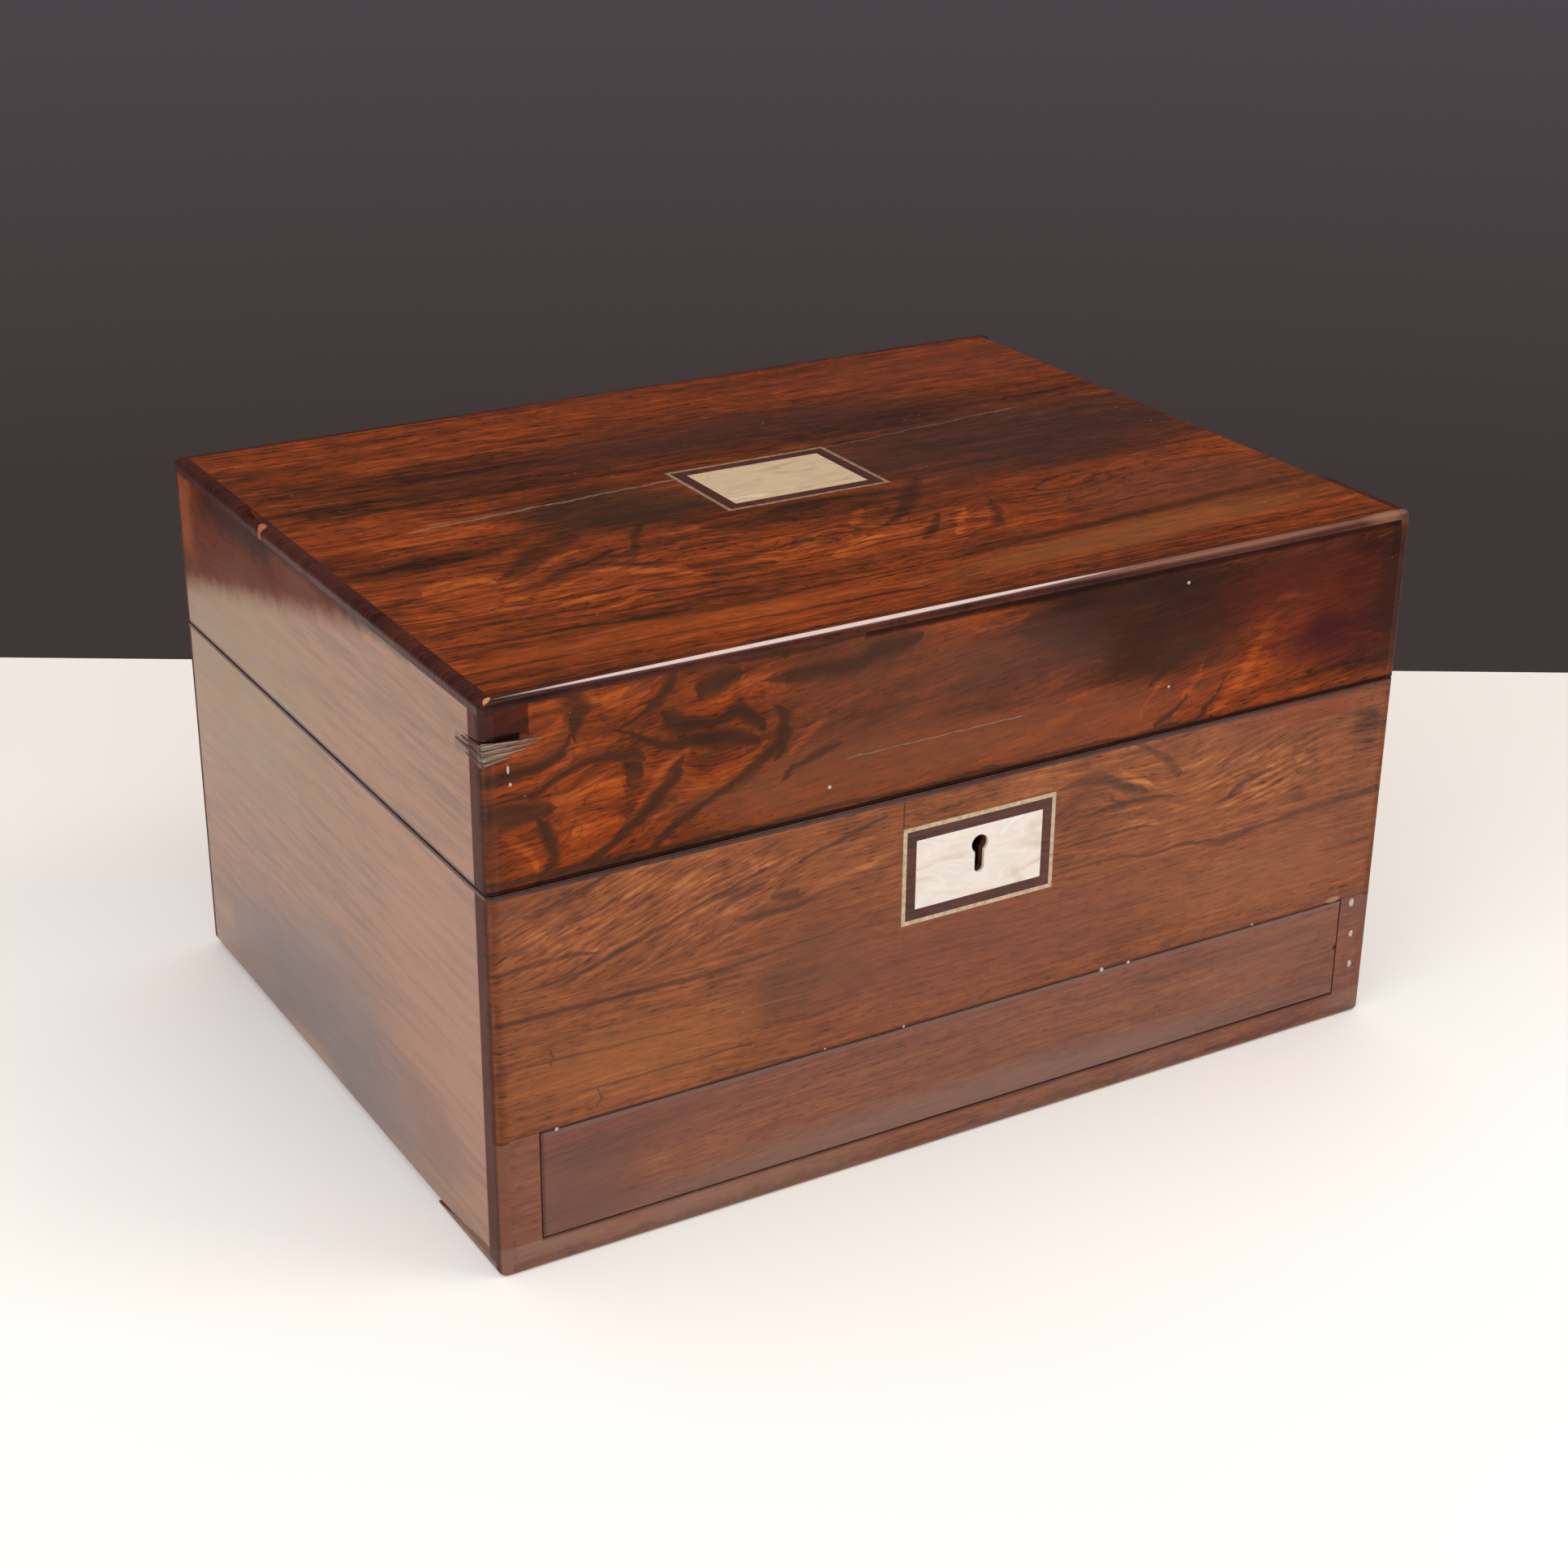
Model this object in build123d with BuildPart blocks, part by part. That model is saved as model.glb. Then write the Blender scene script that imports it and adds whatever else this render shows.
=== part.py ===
from build123d import *
from math import cos, radians, sin
import os

os.makedirs("parts", exist_ok=True)

# The box stands on z = 0 with its front at -y, and its underside is centred on the origin.
# Outside of the box
box_width = 305.0
box_depth = 227.0
box_height = 170.0
lid_height = 53.5  # from the lid's rim to its top
rim_gap = 0.4  # between base and lid when shut

# Boards, veneers and edgings
wall_board = 9.0
veneer = 1.0
lid_board = 7.0  # the board under the lid's top veneer
rim_facing = 1.5  # rosewood strip on the base's rim
dust_board_thickness = 5.0
corner_strip = 3.5  # depth of the upright corner strips and of the foot strips
side_edging = 4.0  # square section of the lid's left, right and back edgings
front_edging = 2.5
worn_round = 2.2  # worn roundness of every outer edge
joint_gap = 0.05  # hairline joint between two strips of one set

# Drawer and what it runs in
rail_height = 9.0  # front rail and bottom board
stile_width = 12.35  # from the box's outer face to the drawer opening
drawer_height = 32.9
drawer_gap = 0.35  # all round the drawer's front
drawer_edge_round = 0.4
drawer_back_room = 6.0  # behind the drawer, for its spring
drawer_side = 6.0
drawer_bottom_thickness = 3.0
drawer_lining_thickness = 0.6
drawer_side_drop = 1.2  # the sides stand this much lower than the front

# Foot strips let into the lower edge of the other three sides
foot_height = 3.0
foot_round = 1.6  # worn roundness of the edge the box stands on
left_foot_length = 44.5  # what is left of the broken left strip, along the floor
left_foot_break = (4.0, 14.0)  # how much shorter it is half-way up and at its top
back_foot_loss = 9.5  # what broke off the back strip's left end, together with the corner strip's foot

# Lock
lock_plate_width = 52.0
lock_plate_height = 32.0  # down from the rim
lock_case_width = 42.0
lock_depth = 7.0
lock_plate = 1.2
lock_wall = 1.0
lock_screw_inset = 4.5
keyhole_below_rim = 20.5  # centre of the keyhole's round head
keyhole_radius = 2.8
keyhole_slot = 3.2
keyhole_drop = 9.0  # from the head's centre to the slot's end
key_pin_radius = 1.2
bolt_thickness = 2.0
bolt_travel = 5.0
bolt_height = 4.5
bolt_below_rim = 17.1  # the bolt's lower edge
bolt_arm = 1.8
bolt_stud_clearance = 0.08
lock_spring_thickness = 0.7
lock_spring_reach = 2.5
lock_spring_foot = 3.0
staple_inset = 10.0  # from the lock case's outer side
staple_width = 4.0
staple_thickness = 1.6
staple_length = 9.5
staple_eye = 3.4
staple_clearance = 0.6
staple_side = 0.6  # wall of the staple beside its eye
tongue_height = 2.4
tongue_clearance = 0.6
link_plate_width = 52.0
link_plate_thickness = 1.5
link_screw_inset = 4.0

# Hinges
hinge_spacing = 190.0
hinge_length = 40.0
hinge_leaf_width = 8.8
hinge_leaf = 1.5
hinge_screw_pitch = 14.0
hinge_screw_setback = 1.0  # behind the middle of the leaf
knuckle_radius = 2.5
hinge_pin_radius = 1.0
hinge_running_clearance = 0.05
knuckle_gap = 0.3
stop_radius = 5.5
stop_angle = 50.5  # each stop face from level, so the lid stops a little past 100 degrees

# Brass wood screws
screw_head_radius = 2.1
screw_head_height = 1.1
screw_shank_radius = 1.0
screw_length = 7.0
screw_slot = 0.5

# Drawer pin and spring
drawer_pin_inset = 31.5  # from the base's inner back face
drawer_pin_radius = 1.5
drawer_pin_clearance = 0.08
drawer_pin_travel = 7.0
pin_knob_radius = 3.4
pin_knob_height = 4.0
pin_knob_round = 1.2
pin_knob_clearance = 1.5  # under the tray when raised
pin_point = 0.4
pin_hole_in_drawer = 1.9
pin_rest_gap = 0.4  # from the raised pin's tip down to the drawer opening's top
finger_room = 24.0  # length of the hollow in the ledge round the pin's knob
spring_length = 70.0
spring_height = 14.0
spring_thickness = 0.7

# Inside the base
ledge_width = 10.0
lining = 0.8
tray_clearance = 0.8
tray_rest_gap = 0.3
ledge_height = 26.7  # above the dust board
tray_below_rim = 1.5
tray_wall = 4.0
tray_floor = 3.0
partition = 3.0
front_cell_depth = 35.0
ink_cell_width = 36.0
middle_cell_width = 92.0
partition_drop = 7.0  # below the tray's top
finger_notch_radius = 11.0
trough_height = 16.0
trough_radius = 14.0
trough_end = 5.0
trough_clearance = 0.3

# Ink bottles
bottle_size = 30.0
bottle_height = 25.0
bottle_chamfer = 3.5
bottle_shoulder = 1.2
bottle_bore = 8.5
bottle_floor = 4.0
neck_radius = 11.0
neck_height = 4.5
cap_radius = 13.0
cap_wall = 1.3
cap_height = 8.5
cap_gap = 0.3

# Inside the lid
lid_lining_thickness = 2.5
lid_lining_clearance = 0.3

# Inlays
stringing = 1.3
front_inlay_width = 52.0
front_inlay_height = 30.4
front_inlay_below_rim = 25.4  # its centre
front_band = 3.2
top_inlay_width = 56.6
top_inlay_depth = 40.7
top_inlay_x = 1.8
top_inlay_y = 4.4
top_band = 3.8

# Old damage
right_edging_inner_length = 39.6  # what is left of the lid's right edging
right_edging_outer_length = 33.8
chip_from_back = 61.5  # chip out of the lid's left edging
chip_length = 13.0
chip_depth = 2.4
split_below_top = 11.0  # split across the lid's front left corner
split_slant = 1.0
split_gap = 0.9
split_depth = 1.6
split_front_reach = 11.0
split_side_reach = 12.0

# Levels and faces worked out from the sizes above
half_width = box_width / 2
half_depth = box_depth / 2
board_x = half_width - veneer
board_y = half_depth - veneer
inner_x = board_x - wall_board
inner_y = board_y - wall_board
lid_rim = box_height - lid_height
rim = lid_rim - rim_gap
panel_top = rim - rim_facing
hinge_axis = rim + rim_gap / 2
opening_x = half_width - stile_width
drawer_x = opening_x - drawer_gap
opening_top = rail_height + drawer_height + 2 * drawer_gap
dust_board_top = opening_top + dust_board_thickness
ledge_top = dust_board_top + ledge_height
tray_low = ledge_top + tray_rest_gap
tray_top = rim - tray_below_rim
lid_ceiling = box_height - veneer - lid_board
lock_back = -inner_y
lock_front = lock_back - lock_depth
lock_low = rim - lock_plate_height
keyhole_height = rim - keyhole_below_rim
bolt_floor = rim - bolt_below_rim
staple_spacing = lock_case_width - 2 * staple_inset
front_inlay_centre = rim - front_inlay_below_rim
split_height = box_height - split_below_top
left_foot_end = left_foot_length - half_depth
chip_y = half_depth - chip_from_back
lock_middle = (lock_back - lock_plate + lock_front + lock_wall) / 2
drawer_low = rail_height + drawer_gap
drawer_side_top = drawer_low + drawer_height - drawer_side_drop
drawer_back_y = inner_y - drawer_back_room
drawer_pin_x = drawer_x - drawer_side / 2
drawer_pin_y = inner_y - drawer_pin_inset
scoop_floor = ledge_top - drawer_pin_travel - pin_knob_height - pin_knob_clearance
knob_low = scoop_floor + drawer_pin_travel
hinge_centres = (-hinge_spacing / 2, hinge_spacing / 2)
sides = (-1, 1)


def block(x, y, z, mode=Mode.ADD):
    """One rectangular block between three pairs of ends."""
    with Locations((min(x), min(y), min(z))):
        Box(abs(x[1] - x[0]), abs(y[1] - y[0]), abs(z[1] - z[0]), align=Align.MIN, mode=mode)


def save(piece, label):
    """Name a finished piece and write it."""
    piece.part.label = label
    export_step(piece.part, f"parts/{label}.step")


def screw_solid(slot):
    """A countersunk wood screw that points down from its head at the origin."""
    with BuildPart() as screw:
        with BuildSketch(Plane.XZ):
            with BuildLine():
                Polyline(
                    (0, 0),
                    (screw_head_radius, 0),
                    (screw_shank_radius, -screw_head_height),
                    (screw_shank_radius, -screw_length + screw_shank_radius),
                    (0, -screw_length),
                    close=True,
                )
            make_face()
        revolve(axis=Axis.Z)
        if slot:
            block(
                (-screw_head_radius, screw_head_radius),
                (-screw_slot / 2, screw_slot / 2),
                (-screw_slot, 0),
                Mode.SUBTRACT,
            )
    return screw.part


plain_screw = screw_solid(False)
slotted_screw = screw_solid(True)

# Places of the screws, each a location whose -z is the way the screw points
hinge_screw_y = half_depth - hinge_leaf_width / 2 - hinge_screw_setback
hinge_screw_places = [
    (centre + step * hinge_screw_pitch, hinge_screw_y) for centre in hinge_centres for step in (-1, 0, 1)
]
base_hinge_screws = [Location((x, y, panel_top + hinge_leaf)) for x, y in hinge_screw_places]
lid_hinge_screws = [Location((x, y, lid_rim), (180, 0, 0)) for x, y in hinge_screw_places]
lock_screw_x = (lock_plate_width + lock_case_width) / 4
lock_screws = [
    Location((side * lock_screw_x, lock_back, height), (-90, 0, 0))
    for side in sides
    for height in (lock_low + lock_screw_inset, panel_top - lock_screw_inset)
]
spring_screw = Location((0, inner_y - spring_thickness, (opening_top + rail_height) / 2), (90, 0, 0))
link_screw_x = link_plate_width / 2 - link_screw_inset
link_screws = [Location((side * link_screw_x, lock_middle, lid_rim), (180, 0, 0)) for side in sides]


# Rounded outer bodies of the base and the lid, which every outer strip is trimmed to
with BuildPart() as base_outline:
    block((-half_width, half_width), (-half_depth, half_depth), (0, rim))
    fillet(base_outline.edges().filter_by(Axis.Z), worn_round)
    fillet(base_outline.faces().sort_by(Axis.Z)[0].edges(), foot_round)

with BuildPart() as lid_outline:
    block((-half_width, half_width), (-half_depth, half_depth), (lid_rim, box_height))
    fillet(lid_outline.edges().filter_by(Axis.Z), worn_round)
    fillet(lid_outline.faces().sort_by(Axis.Z)[-1].edges(), worn_round)

# The keyhole, right through the front wall
with BuildPart() as keyhole:
    with BuildSketch(Plane.XZ.offset(-lock_back)):
        with Locations((0, keyhole_height)):
            Circle(keyhole_radius)
        with Locations((0, keyhole_height - (keyhole_drop - keyhole_slot / 2) / 2)):
            Rectangle(keyhole_slot, keyhole_drop - keyhole_slot / 2)
        with Locations((0, keyhole_height - keyhole_drop + keyhole_slot / 2)):
            Circle(keyhole_slot / 2)
    extrude(amount=half_depth + lock_back)

# Room for the hinge knuckles, along the whole of each hinge
with BuildPart() as knuckle_room:
    for centre in hinge_centres:
        with BuildSketch(Plane.YZ.offset(centre - hinge_length / 2 - knuckle_gap)):
            with Locations((half_depth, hinge_axis)):
                Circle(knuckle_radius + knuckle_gap)
        extrude(amount=hinge_length + 2 * knuckle_gap)

# The split across the lid's front left corner
with BuildPart() as corner_split:
    with BuildSketch(Plane.XZ.offset(half_depth - split_depth)):
        with BuildLine():
            Polyline(
                (-half_width, split_height + split_gap / 2),
                (-half_width + split_front_reach, split_height),
                (-half_width, split_height - split_gap / 2),
                close=True,
            )
        make_face()
    extrude(amount=split_depth)
    with BuildSketch(Plane.YZ.offset(-half_width)):
        with BuildLine():
            Polyline(
                (-half_depth, split_height + split_gap / 2),
                (-half_depth + split_side_reach, split_height - split_slant),
                (-half_depth, split_height - split_gap / 2),
                close=True,
            )
        make_face()
    extrude(amount=split_depth)


# Base boards
with BuildPart() as base_side_panels:
    for side in sides:
        block((side * inner_x, side * board_x), (-board_y, board_y), (0, panel_top))
        block(
            (side * (half_width - corner_strip), side * half_width),
            (-half_depth, half_depth),
            (0, foot_height),
            Mode.SUBTRACT,
        )
        for end in sides:
            block(
                (side * (half_width - corner_strip), side * half_width),
                (end * (half_depth - corner_strip), end * half_depth),
                (0, rim),
                Mode.SUBTRACT,
            )
    block((-half_width, half_width), (half_depth - corner_strip, half_depth), (0, foot_height), Mode.SUBTRACT)
save(base_side_panels, "base_side_panels")

with BuildPart() as base_back_panel:
    block((-inner_x, inner_x), (inner_y, board_y), (0, panel_top))
    block((-inner_x, inner_x), (half_depth - corner_strip, board_y), (0, foot_height), Mode.SUBTRACT)
    add(knuckle_room.part, mode=Mode.SUBTRACT)
    with Locations(*base_hinge_screws, spring_screw):
        add(plain_screw, mode=Mode.SUBTRACT)
save(base_back_panel, "base_back_panel")

with BuildPart() as base_front_panel:
    block((-inner_x, inner_x), (-board_y, -inner_y), (opening_top, panel_top))
    block(
        (-lock_plate_width / 2, lock_plate_width / 2),
        (lock_back - lock_plate, lock_back),
        (lock_low, panel_top),
        Mode.SUBTRACT,
    )
    block(
        (-lock_case_width / 2, lock_case_width / 2),
        (lock_front, lock_back),
        (lock_low + lock_wall, panel_top),
        Mode.SUBTRACT,
    )
    add(keyhole.part, mode=Mode.SUBTRACT)
    with Locations(*lock_screws):
        add(plain_screw, mode=Mode.SUBTRACT)
save(base_front_panel, "base_front_panel")

with BuildPart() as front_rail:
    block((-inner_x, inner_x), (-half_depth, -inner_y), (0, rail_height))
    block(
        (corner_strip - half_width, half_width - corner_strip),
        (-half_depth, -board_y),
        (0, rail_height),
    )
    add(base_outline.part, mode=Mode.INTERSECT)
save(front_rail, "front_rail")

with BuildPart() as bottom_board:
    block((-inner_x, inner_x), (-inner_y, inner_y), (0, rail_height))
save(bottom_board, "bottom_board")

with BuildPart() as dust_board:
    block((-inner_x, inner_x), (-inner_y, inner_y), (opening_top, dust_board_top))
    with BuildSketch(Plane.XY.offset(opening_top)):
        with Locations((drawer_pin_x, drawer_pin_y)):
            Circle(drawer_pin_radius + drawer_pin_clearance)
    extrude(amount=dust_board_thickness, mode=Mode.SUBTRACT)
save(dust_board, "dust_board")

with BuildPart() as drawer_guides:
    for side in sides:
        block((side * opening_x, side * inner_x), (-board_y, inner_y), (rail_height, opening_top))
save(drawer_guides, "drawer_guides")

with BuildPart() as tray_ledges:
    for side in sides:
        block(
            (side * (inner_x - ledge_width), side * inner_x),
            (-inner_y, inner_y),
            (dust_board_top, ledge_top),
        )
    block(
        (inner_x - ledge_width, inner_x),
        (drawer_pin_y - finger_room / 2, drawer_pin_y + finger_room / 2),
        (scoop_floor, ledge_top),
        Mode.SUBTRACT,
    )
    with BuildSketch(Plane.XY.offset(dust_board_top)):
        with Locations((drawer_pin_x, drawer_pin_y)):
            Circle(drawer_pin_radius + drawer_pin_clearance)
    extrude(amount=scoop_floor - dust_board_top, mode=Mode.SUBTRACT)
save(tray_ledges, "tray_ledges")

with BuildPart() as compartment_lining:
    block(
        (ledge_width - inner_x, inner_x - ledge_width),
        (-inner_y, inner_y),
        (dust_board_top, dust_board_top + lining),
    )
save(compartment_lining, "compartment_lining")

# Outer skins of the base
with BuildPart() as base_front_veneer:
    block(
        (corner_strip - half_width, half_width - corner_strip),
        (-half_depth, -board_y),
        (opening_top, panel_top),
    )
    block(
        (-front_inlay_width / 2, front_inlay_width / 2),
        (-half_depth, -board_y),
        (front_inlay_centre - front_inlay_height / 2, front_inlay_centre + front_inlay_height / 2),
        Mode.SUBTRACT,
    )
save(base_front_veneer, "base_front_veneer")

with BuildPart() as front_stiles:
    for side in sides:
        block(
            (side * opening_x, side * (half_width - corner_strip)),
            (-half_depth, -board_y),
            (rail_height, opening_top),
        )
save(front_stiles, "front_stiles")

with BuildPart() as base_side_veneers:
    for side in sides:
        block(
            (side * board_x, side * half_width),
            (corner_strip - half_depth, half_depth - corner_strip),
            (foot_height, panel_top),
        )
    block(
        (corner_strip - half_width, half_width - corner_strip),
        (board_y, half_depth),
        (foot_height, panel_top),
    )
    add(knuckle_room.part, mode=Mode.SUBTRACT)
save(base_side_veneers, "base_side_veneers")

with BuildPart() as base_corner_strips:
    for side in sides:
        for end in sides:
            block(
                (side * (half_width - corner_strip), side * half_width),
                (end * (half_depth - corner_strip), end * half_depth),
                (0, panel_top),
            )
    add(base_outline.part, mode=Mode.INTERSECT)
    block(
        (-half_width, corner_strip - half_width),
        (half_depth - corner_strip, half_depth),
        (0, foot_height),
        Mode.SUBTRACT,
    )
save(base_corner_strips, "base_corner_strips")

with BuildPart() as foot_strips:
    block(
        (half_width - corner_strip, half_width),
        (corner_strip - half_depth, half_depth - corner_strip),
        (0, foot_height),
    )
    block(
        (back_foot_loss - half_width, half_width - corner_strip),
        (half_depth - corner_strip, half_depth),
        (0, foot_height),
    )
    add(base_outline.part, mode=Mode.INTERSECT)
save(foot_strips, "foot_strips")

with BuildPart() as left_foot_strip:
    with BuildSketch(Plane.YZ.offset(-half_width)):
        with BuildLine():
            Polyline(
                (corner_strip - half_depth, 0),
                (left_foot_end, 0),
                (left_foot_end - left_foot_break[0], foot_height / 2),
                (left_foot_end - left_foot_break[1], foot_height),
                (corner_strip - half_depth, foot_height),
                close=True,
            )
        make_face()
    extrude(amount=corner_strip)
    add(base_outline.part, mode=Mode.INTERSECT)
save(left_foot_strip, "left_foot_strip")

with BuildPart() as base_rim_facing:
    block((-half_width, half_width), (-half_depth, half_depth), (panel_top, rim))
    fillet(base_rim_facing.edges().filter_by(Axis.Z), worn_round)
    fillet(base_rim_facing.faces().sort_by(Axis.Z)[-1].edges(), rim_facing / 2)
    block((-inner_x, inner_x), (-inner_y, inner_y), (panel_top, rim), Mode.SUBTRACT)
    block(
        (-lock_plate_width / 2, lock_plate_width / 2),
        (lock_front, lock_back),
        (panel_top, rim),
        Mode.SUBTRACT,
    )
    for centre in hinge_centres:
        block(
            (centre - hinge_length / 2, centre + hinge_length / 2),
            (half_depth - hinge_leaf_width, half_depth),
            (panel_top, rim),
            Mode.SUBTRACT,
        )
    add(knuckle_room.part, mode=Mode.SUBTRACT)
save(base_rim_facing, "base_rim_facing")


def inlay_frame(width, height, thickness, centre, plane, label):
    """Four thin strips round an opening, mitred with a hairline joint."""
    with BuildPart() as frame:
        with BuildSketch(plane):
            with Locations(centre):
                Rectangle(width, height)
                Rectangle(width - 2 * thickness, height - 2 * thickness, mode=Mode.SUBTRACT)
                for turn in sides:
                    with Locations(*[(x * width / 2, y * height / 2) for x, y in ((-turn, -1), (turn, 1))]):
                        Rectangle(joint_gap, 3 * thickness, rotation=-45 * turn, mode=Mode.SUBTRACT)
        extrude(amount=-veneer)
    save(frame, label)


front_plane = Plane.XZ.offset(half_depth)
top_plane = Plane.XY.offset(box_height)
front_inlay = (front_inlay_width, front_inlay_height, stringing, (0, front_inlay_centre), front_plane)
top_inlay = (top_inlay_width, top_inlay_depth, stringing, (top_inlay_x, top_inlay_y), top_plane)
inlay_frame(*front_inlay, "escutcheon_stringing")
inlay_frame(*top_inlay, "lid_plate_stringing")

with BuildPart() as escutcheon_band:
    with BuildSketch(front_plane):
        with Locations((0, front_inlay_centre)):
            Rectangle(front_inlay_width - 2 * stringing, front_inlay_height - 2 * stringing)
            Rectangle(
                front_inlay_width - 2 * (stringing + front_band),
                front_inlay_height - 2 * (stringing + front_band),
                mode=Mode.SUBTRACT,
            )
    extrude(amount=-veneer)
save(escutcheon_band, "escutcheon_band")

with BuildPart() as escutcheon_plate:
    with BuildSketch(front_plane):
        with Locations((0, front_inlay_centre)):
            Rectangle(
                front_inlay_width - 2 * (stringing + front_band),
                front_inlay_height - 2 * (stringing + front_band),
            )
    extrude(amount=-veneer)
    add(keyhole.part, mode=Mode.SUBTRACT)
save(escutcheon_plate, "escutcheon_plate")

# Lock, let into the inner face of the front wall
with BuildPart() as lock_case:
    block(
        (-lock_plate_width / 2, lock_plate_width / 2),
        (lock_back - lock_plate, lock_back),
        (lock_low, rim),
    )
    block((-lock_plate_width / 2, lock_plate_width / 2), (lock_front, lock_back), (panel_top, rim))
    block(
        (-lock_case_width / 2, lock_case_width / 2),
        (lock_front, lock_back),
        (lock_low + lock_wall, panel_top),
    )
    block(
        (lock_wall - lock_case_width / 2, lock_case_width / 2 - lock_wall),
        (lock_front, lock_back - lock_plate),
        (lock_low + 2 * lock_wall, panel_top),
        Mode.SUBTRACT,
    )
    for side in sides:
        reach = staple_thickness / 2 + staple_clearance
        block(
            (side * staple_spacing / 2 - reach, side * staple_spacing / 2 + reach),
            (
                lock_middle - staple_width / 2 - staple_clearance,
                lock_middle + staple_width / 2 + staple_clearance,
            ),
            (panel_top, rim),
            Mode.SUBTRACT,
        )
    with BuildSketch(Plane.XZ.offset(-lock_back + lock_plate / 2)):
        with Locations((0, keyhole_height), (-staple_spacing / 2, bolt_floor + bolt_height / 2)):
            Circle(key_pin_radius)
    extrude(amount=lock_depth - lock_plate / 2 - lock_wall)
    with Locations(*lock_screws):
        add(plain_screw, mode=Mode.SUBTRACT)
save(lock_case, "lock_case")

with BuildPart() as lock_cap:
    block(
        (lock_wall - lock_case_width / 2, lock_case_width / 2 - lock_wall),
        (lock_front, lock_front + lock_wall),
        (lock_low + 2 * lock_wall, panel_top),
    )
    add(keyhole.part, mode=Mode.SUBTRACT)
save(lock_cap, "lock_cap")

tongue_root = staple_thickness / 2 + tongue_clearance / 2 + bolt_travel
tongue_low = lid_rim - staple_length + (staple_length - tongue_height) / 3
bolt_y = (lock_middle - bolt_thickness / 2, lock_middle + bolt_thickness / 2)
with BuildPart() as lock_bolt:
    block(
        (-staple_spacing / 2 - tongue_root - bolt_arm, staple_spacing / 2 - tongue_root + bolt_arm),
        bolt_y,
        (bolt_floor, bolt_floor + bolt_height),
    )
    for side in sides:
        staple = side * staple_spacing / 2
        block(
            (staple - tongue_root - bolt_arm, staple - tongue_root),
            bolt_y,
            (bolt_floor, tongue_low + tongue_height),
        )
        block(
            (staple - tongue_root, staple - staple_thickness / 2 - tongue_clearance),
            bolt_y,
            (tongue_low, tongue_low + tongue_height),
        )
    with BuildSketch(Plane.XZ.offset(-bolt_y[1])):
        with Locations((-staple_spacing / 2 - bolt_travel / 2, bolt_floor + bolt_height / 2)):
            SlotCenterToCenter(bolt_travel, 2 * (key_pin_radius + bolt_stud_clearance))
        with Locations((0, bolt_floor)):
            Circle(keyhole_slot / 2)
    extrude(amount=bolt_thickness, mode=Mode.SUBTRACT)
save(lock_bolt, "lock_bolt")

spring_wall = lock_case_width / 2 - lock_wall - lock_spring_thickness / 2
with BuildPart() as lock_spring:
    with BuildSketch(Plane.XZ.offset(-bolt_y[1])):
        with BuildLine() as spring_line:
            Polyline(
                (spring_wall, lock_low + 2 * lock_wall + lock_spring_foot),
                (spring_wall, bolt_floor),
                (spring_wall - lock_spring_reach, bolt_floor + bolt_height),
            )
        trace(spring_line.line, lock_spring_thickness)
    extrude(amount=bolt_thickness)
save(lock_spring, "lock_spring")

with BuildPart() as case_screws:
    with Locations(*base_hinge_screws, *lock_screws, spring_screw):
        add(slotted_screw)
save(case_screws, "case_screws")


knuckle_step = hinge_length / 3
base_knuckles = (0, 2)
lid_knuckles = (1,)


def hinge_leaves(label, level, knuckles, stop_start, bore, screws):
    """The two leaves of one kind: plate, its own knuckles and the stop lug behind them."""
    with BuildPart() as leaves:
        for centre in hinge_centres:
            block(
                (centre - hinge_length / 2, centre + hinge_length / 2),
                (half_depth - hinge_leaf_width, half_depth),
                (level, level + hinge_leaf),
            )
        add(knuckle_room.part, mode=Mode.SUBTRACT)
        for centre in hinge_centres:
            start = centre - hinge_length / 2
            for number in knuckles:
                low = start + number * knuckle_step + (knuckle_gap / 2 if number > 0 else 0)
                high = start + (number + 1) * knuckle_step - (knuckle_gap / 2 if number < 2 else 0)
                with BuildSketch(Plane.YZ.offset(low)):
                    with Locations((half_depth, hinge_axis)):
                        Circle(knuckle_radius)
                    with Locations((half_depth - knuckle_radius, level + hinge_leaf / 2)):
                        Rectangle(2 * knuckle_radius, hinge_leaf)
                    with BuildLine():
                        lug_outline(stop_start, knuckle_radius / 2)
                    make_face()
                extrude(amount=high - low)
            with BuildSketch(Plane.YZ.offset(start)):
                with BuildLine():
                    lug_outline(stop_start, knuckle_radius + knuckle_gap)
                make_face()
            extrude(amount=hinge_length)
            with BuildSketch(Plane.YZ.offset(start)):
                with Locations((half_depth, hinge_axis)):
                    Circle(bore)
            extrude(amount=hinge_length, mode=Mode.SUBTRACT)
        with Locations(*screws):
            add(plain_screw, mode=Mode.SUBTRACT)
    save(leaves, label)


def lug_outline(start, inner):
    """Outline of a stop lug round the hinge's axis, from one angle to the next."""
    centre = (half_depth, hinge_axis)
    near = CenterArc(centre, inner, start, 90 - stop_angle)
    far = CenterArc(centre, stop_radius, start, 90 - stop_angle)
    Line(near @ 0, far @ 0)
    Line(near @ 1, far @ 1)


running_bore = hinge_pin_radius + hinge_running_clearance
hinge_leaves("base_hinge_leaves", panel_top, base_knuckles, -90, hinge_pin_radius, base_hinge_screws)
hinge_leaves("lid_hinge_leaves", lid_rim, lid_knuckles, stop_angle, running_bore, lid_hinge_screws)

with BuildPart() as hinge_pins:
    for centre in hinge_centres:
        with BuildSketch(Plane.YZ.offset(centre - hinge_length / 2)):
            with Locations((half_depth, hinge_axis)):
                Circle(hinge_pin_radius)
        extrude(amount=hinge_length)
save(hinge_pins, "hinge_pins")

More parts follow.
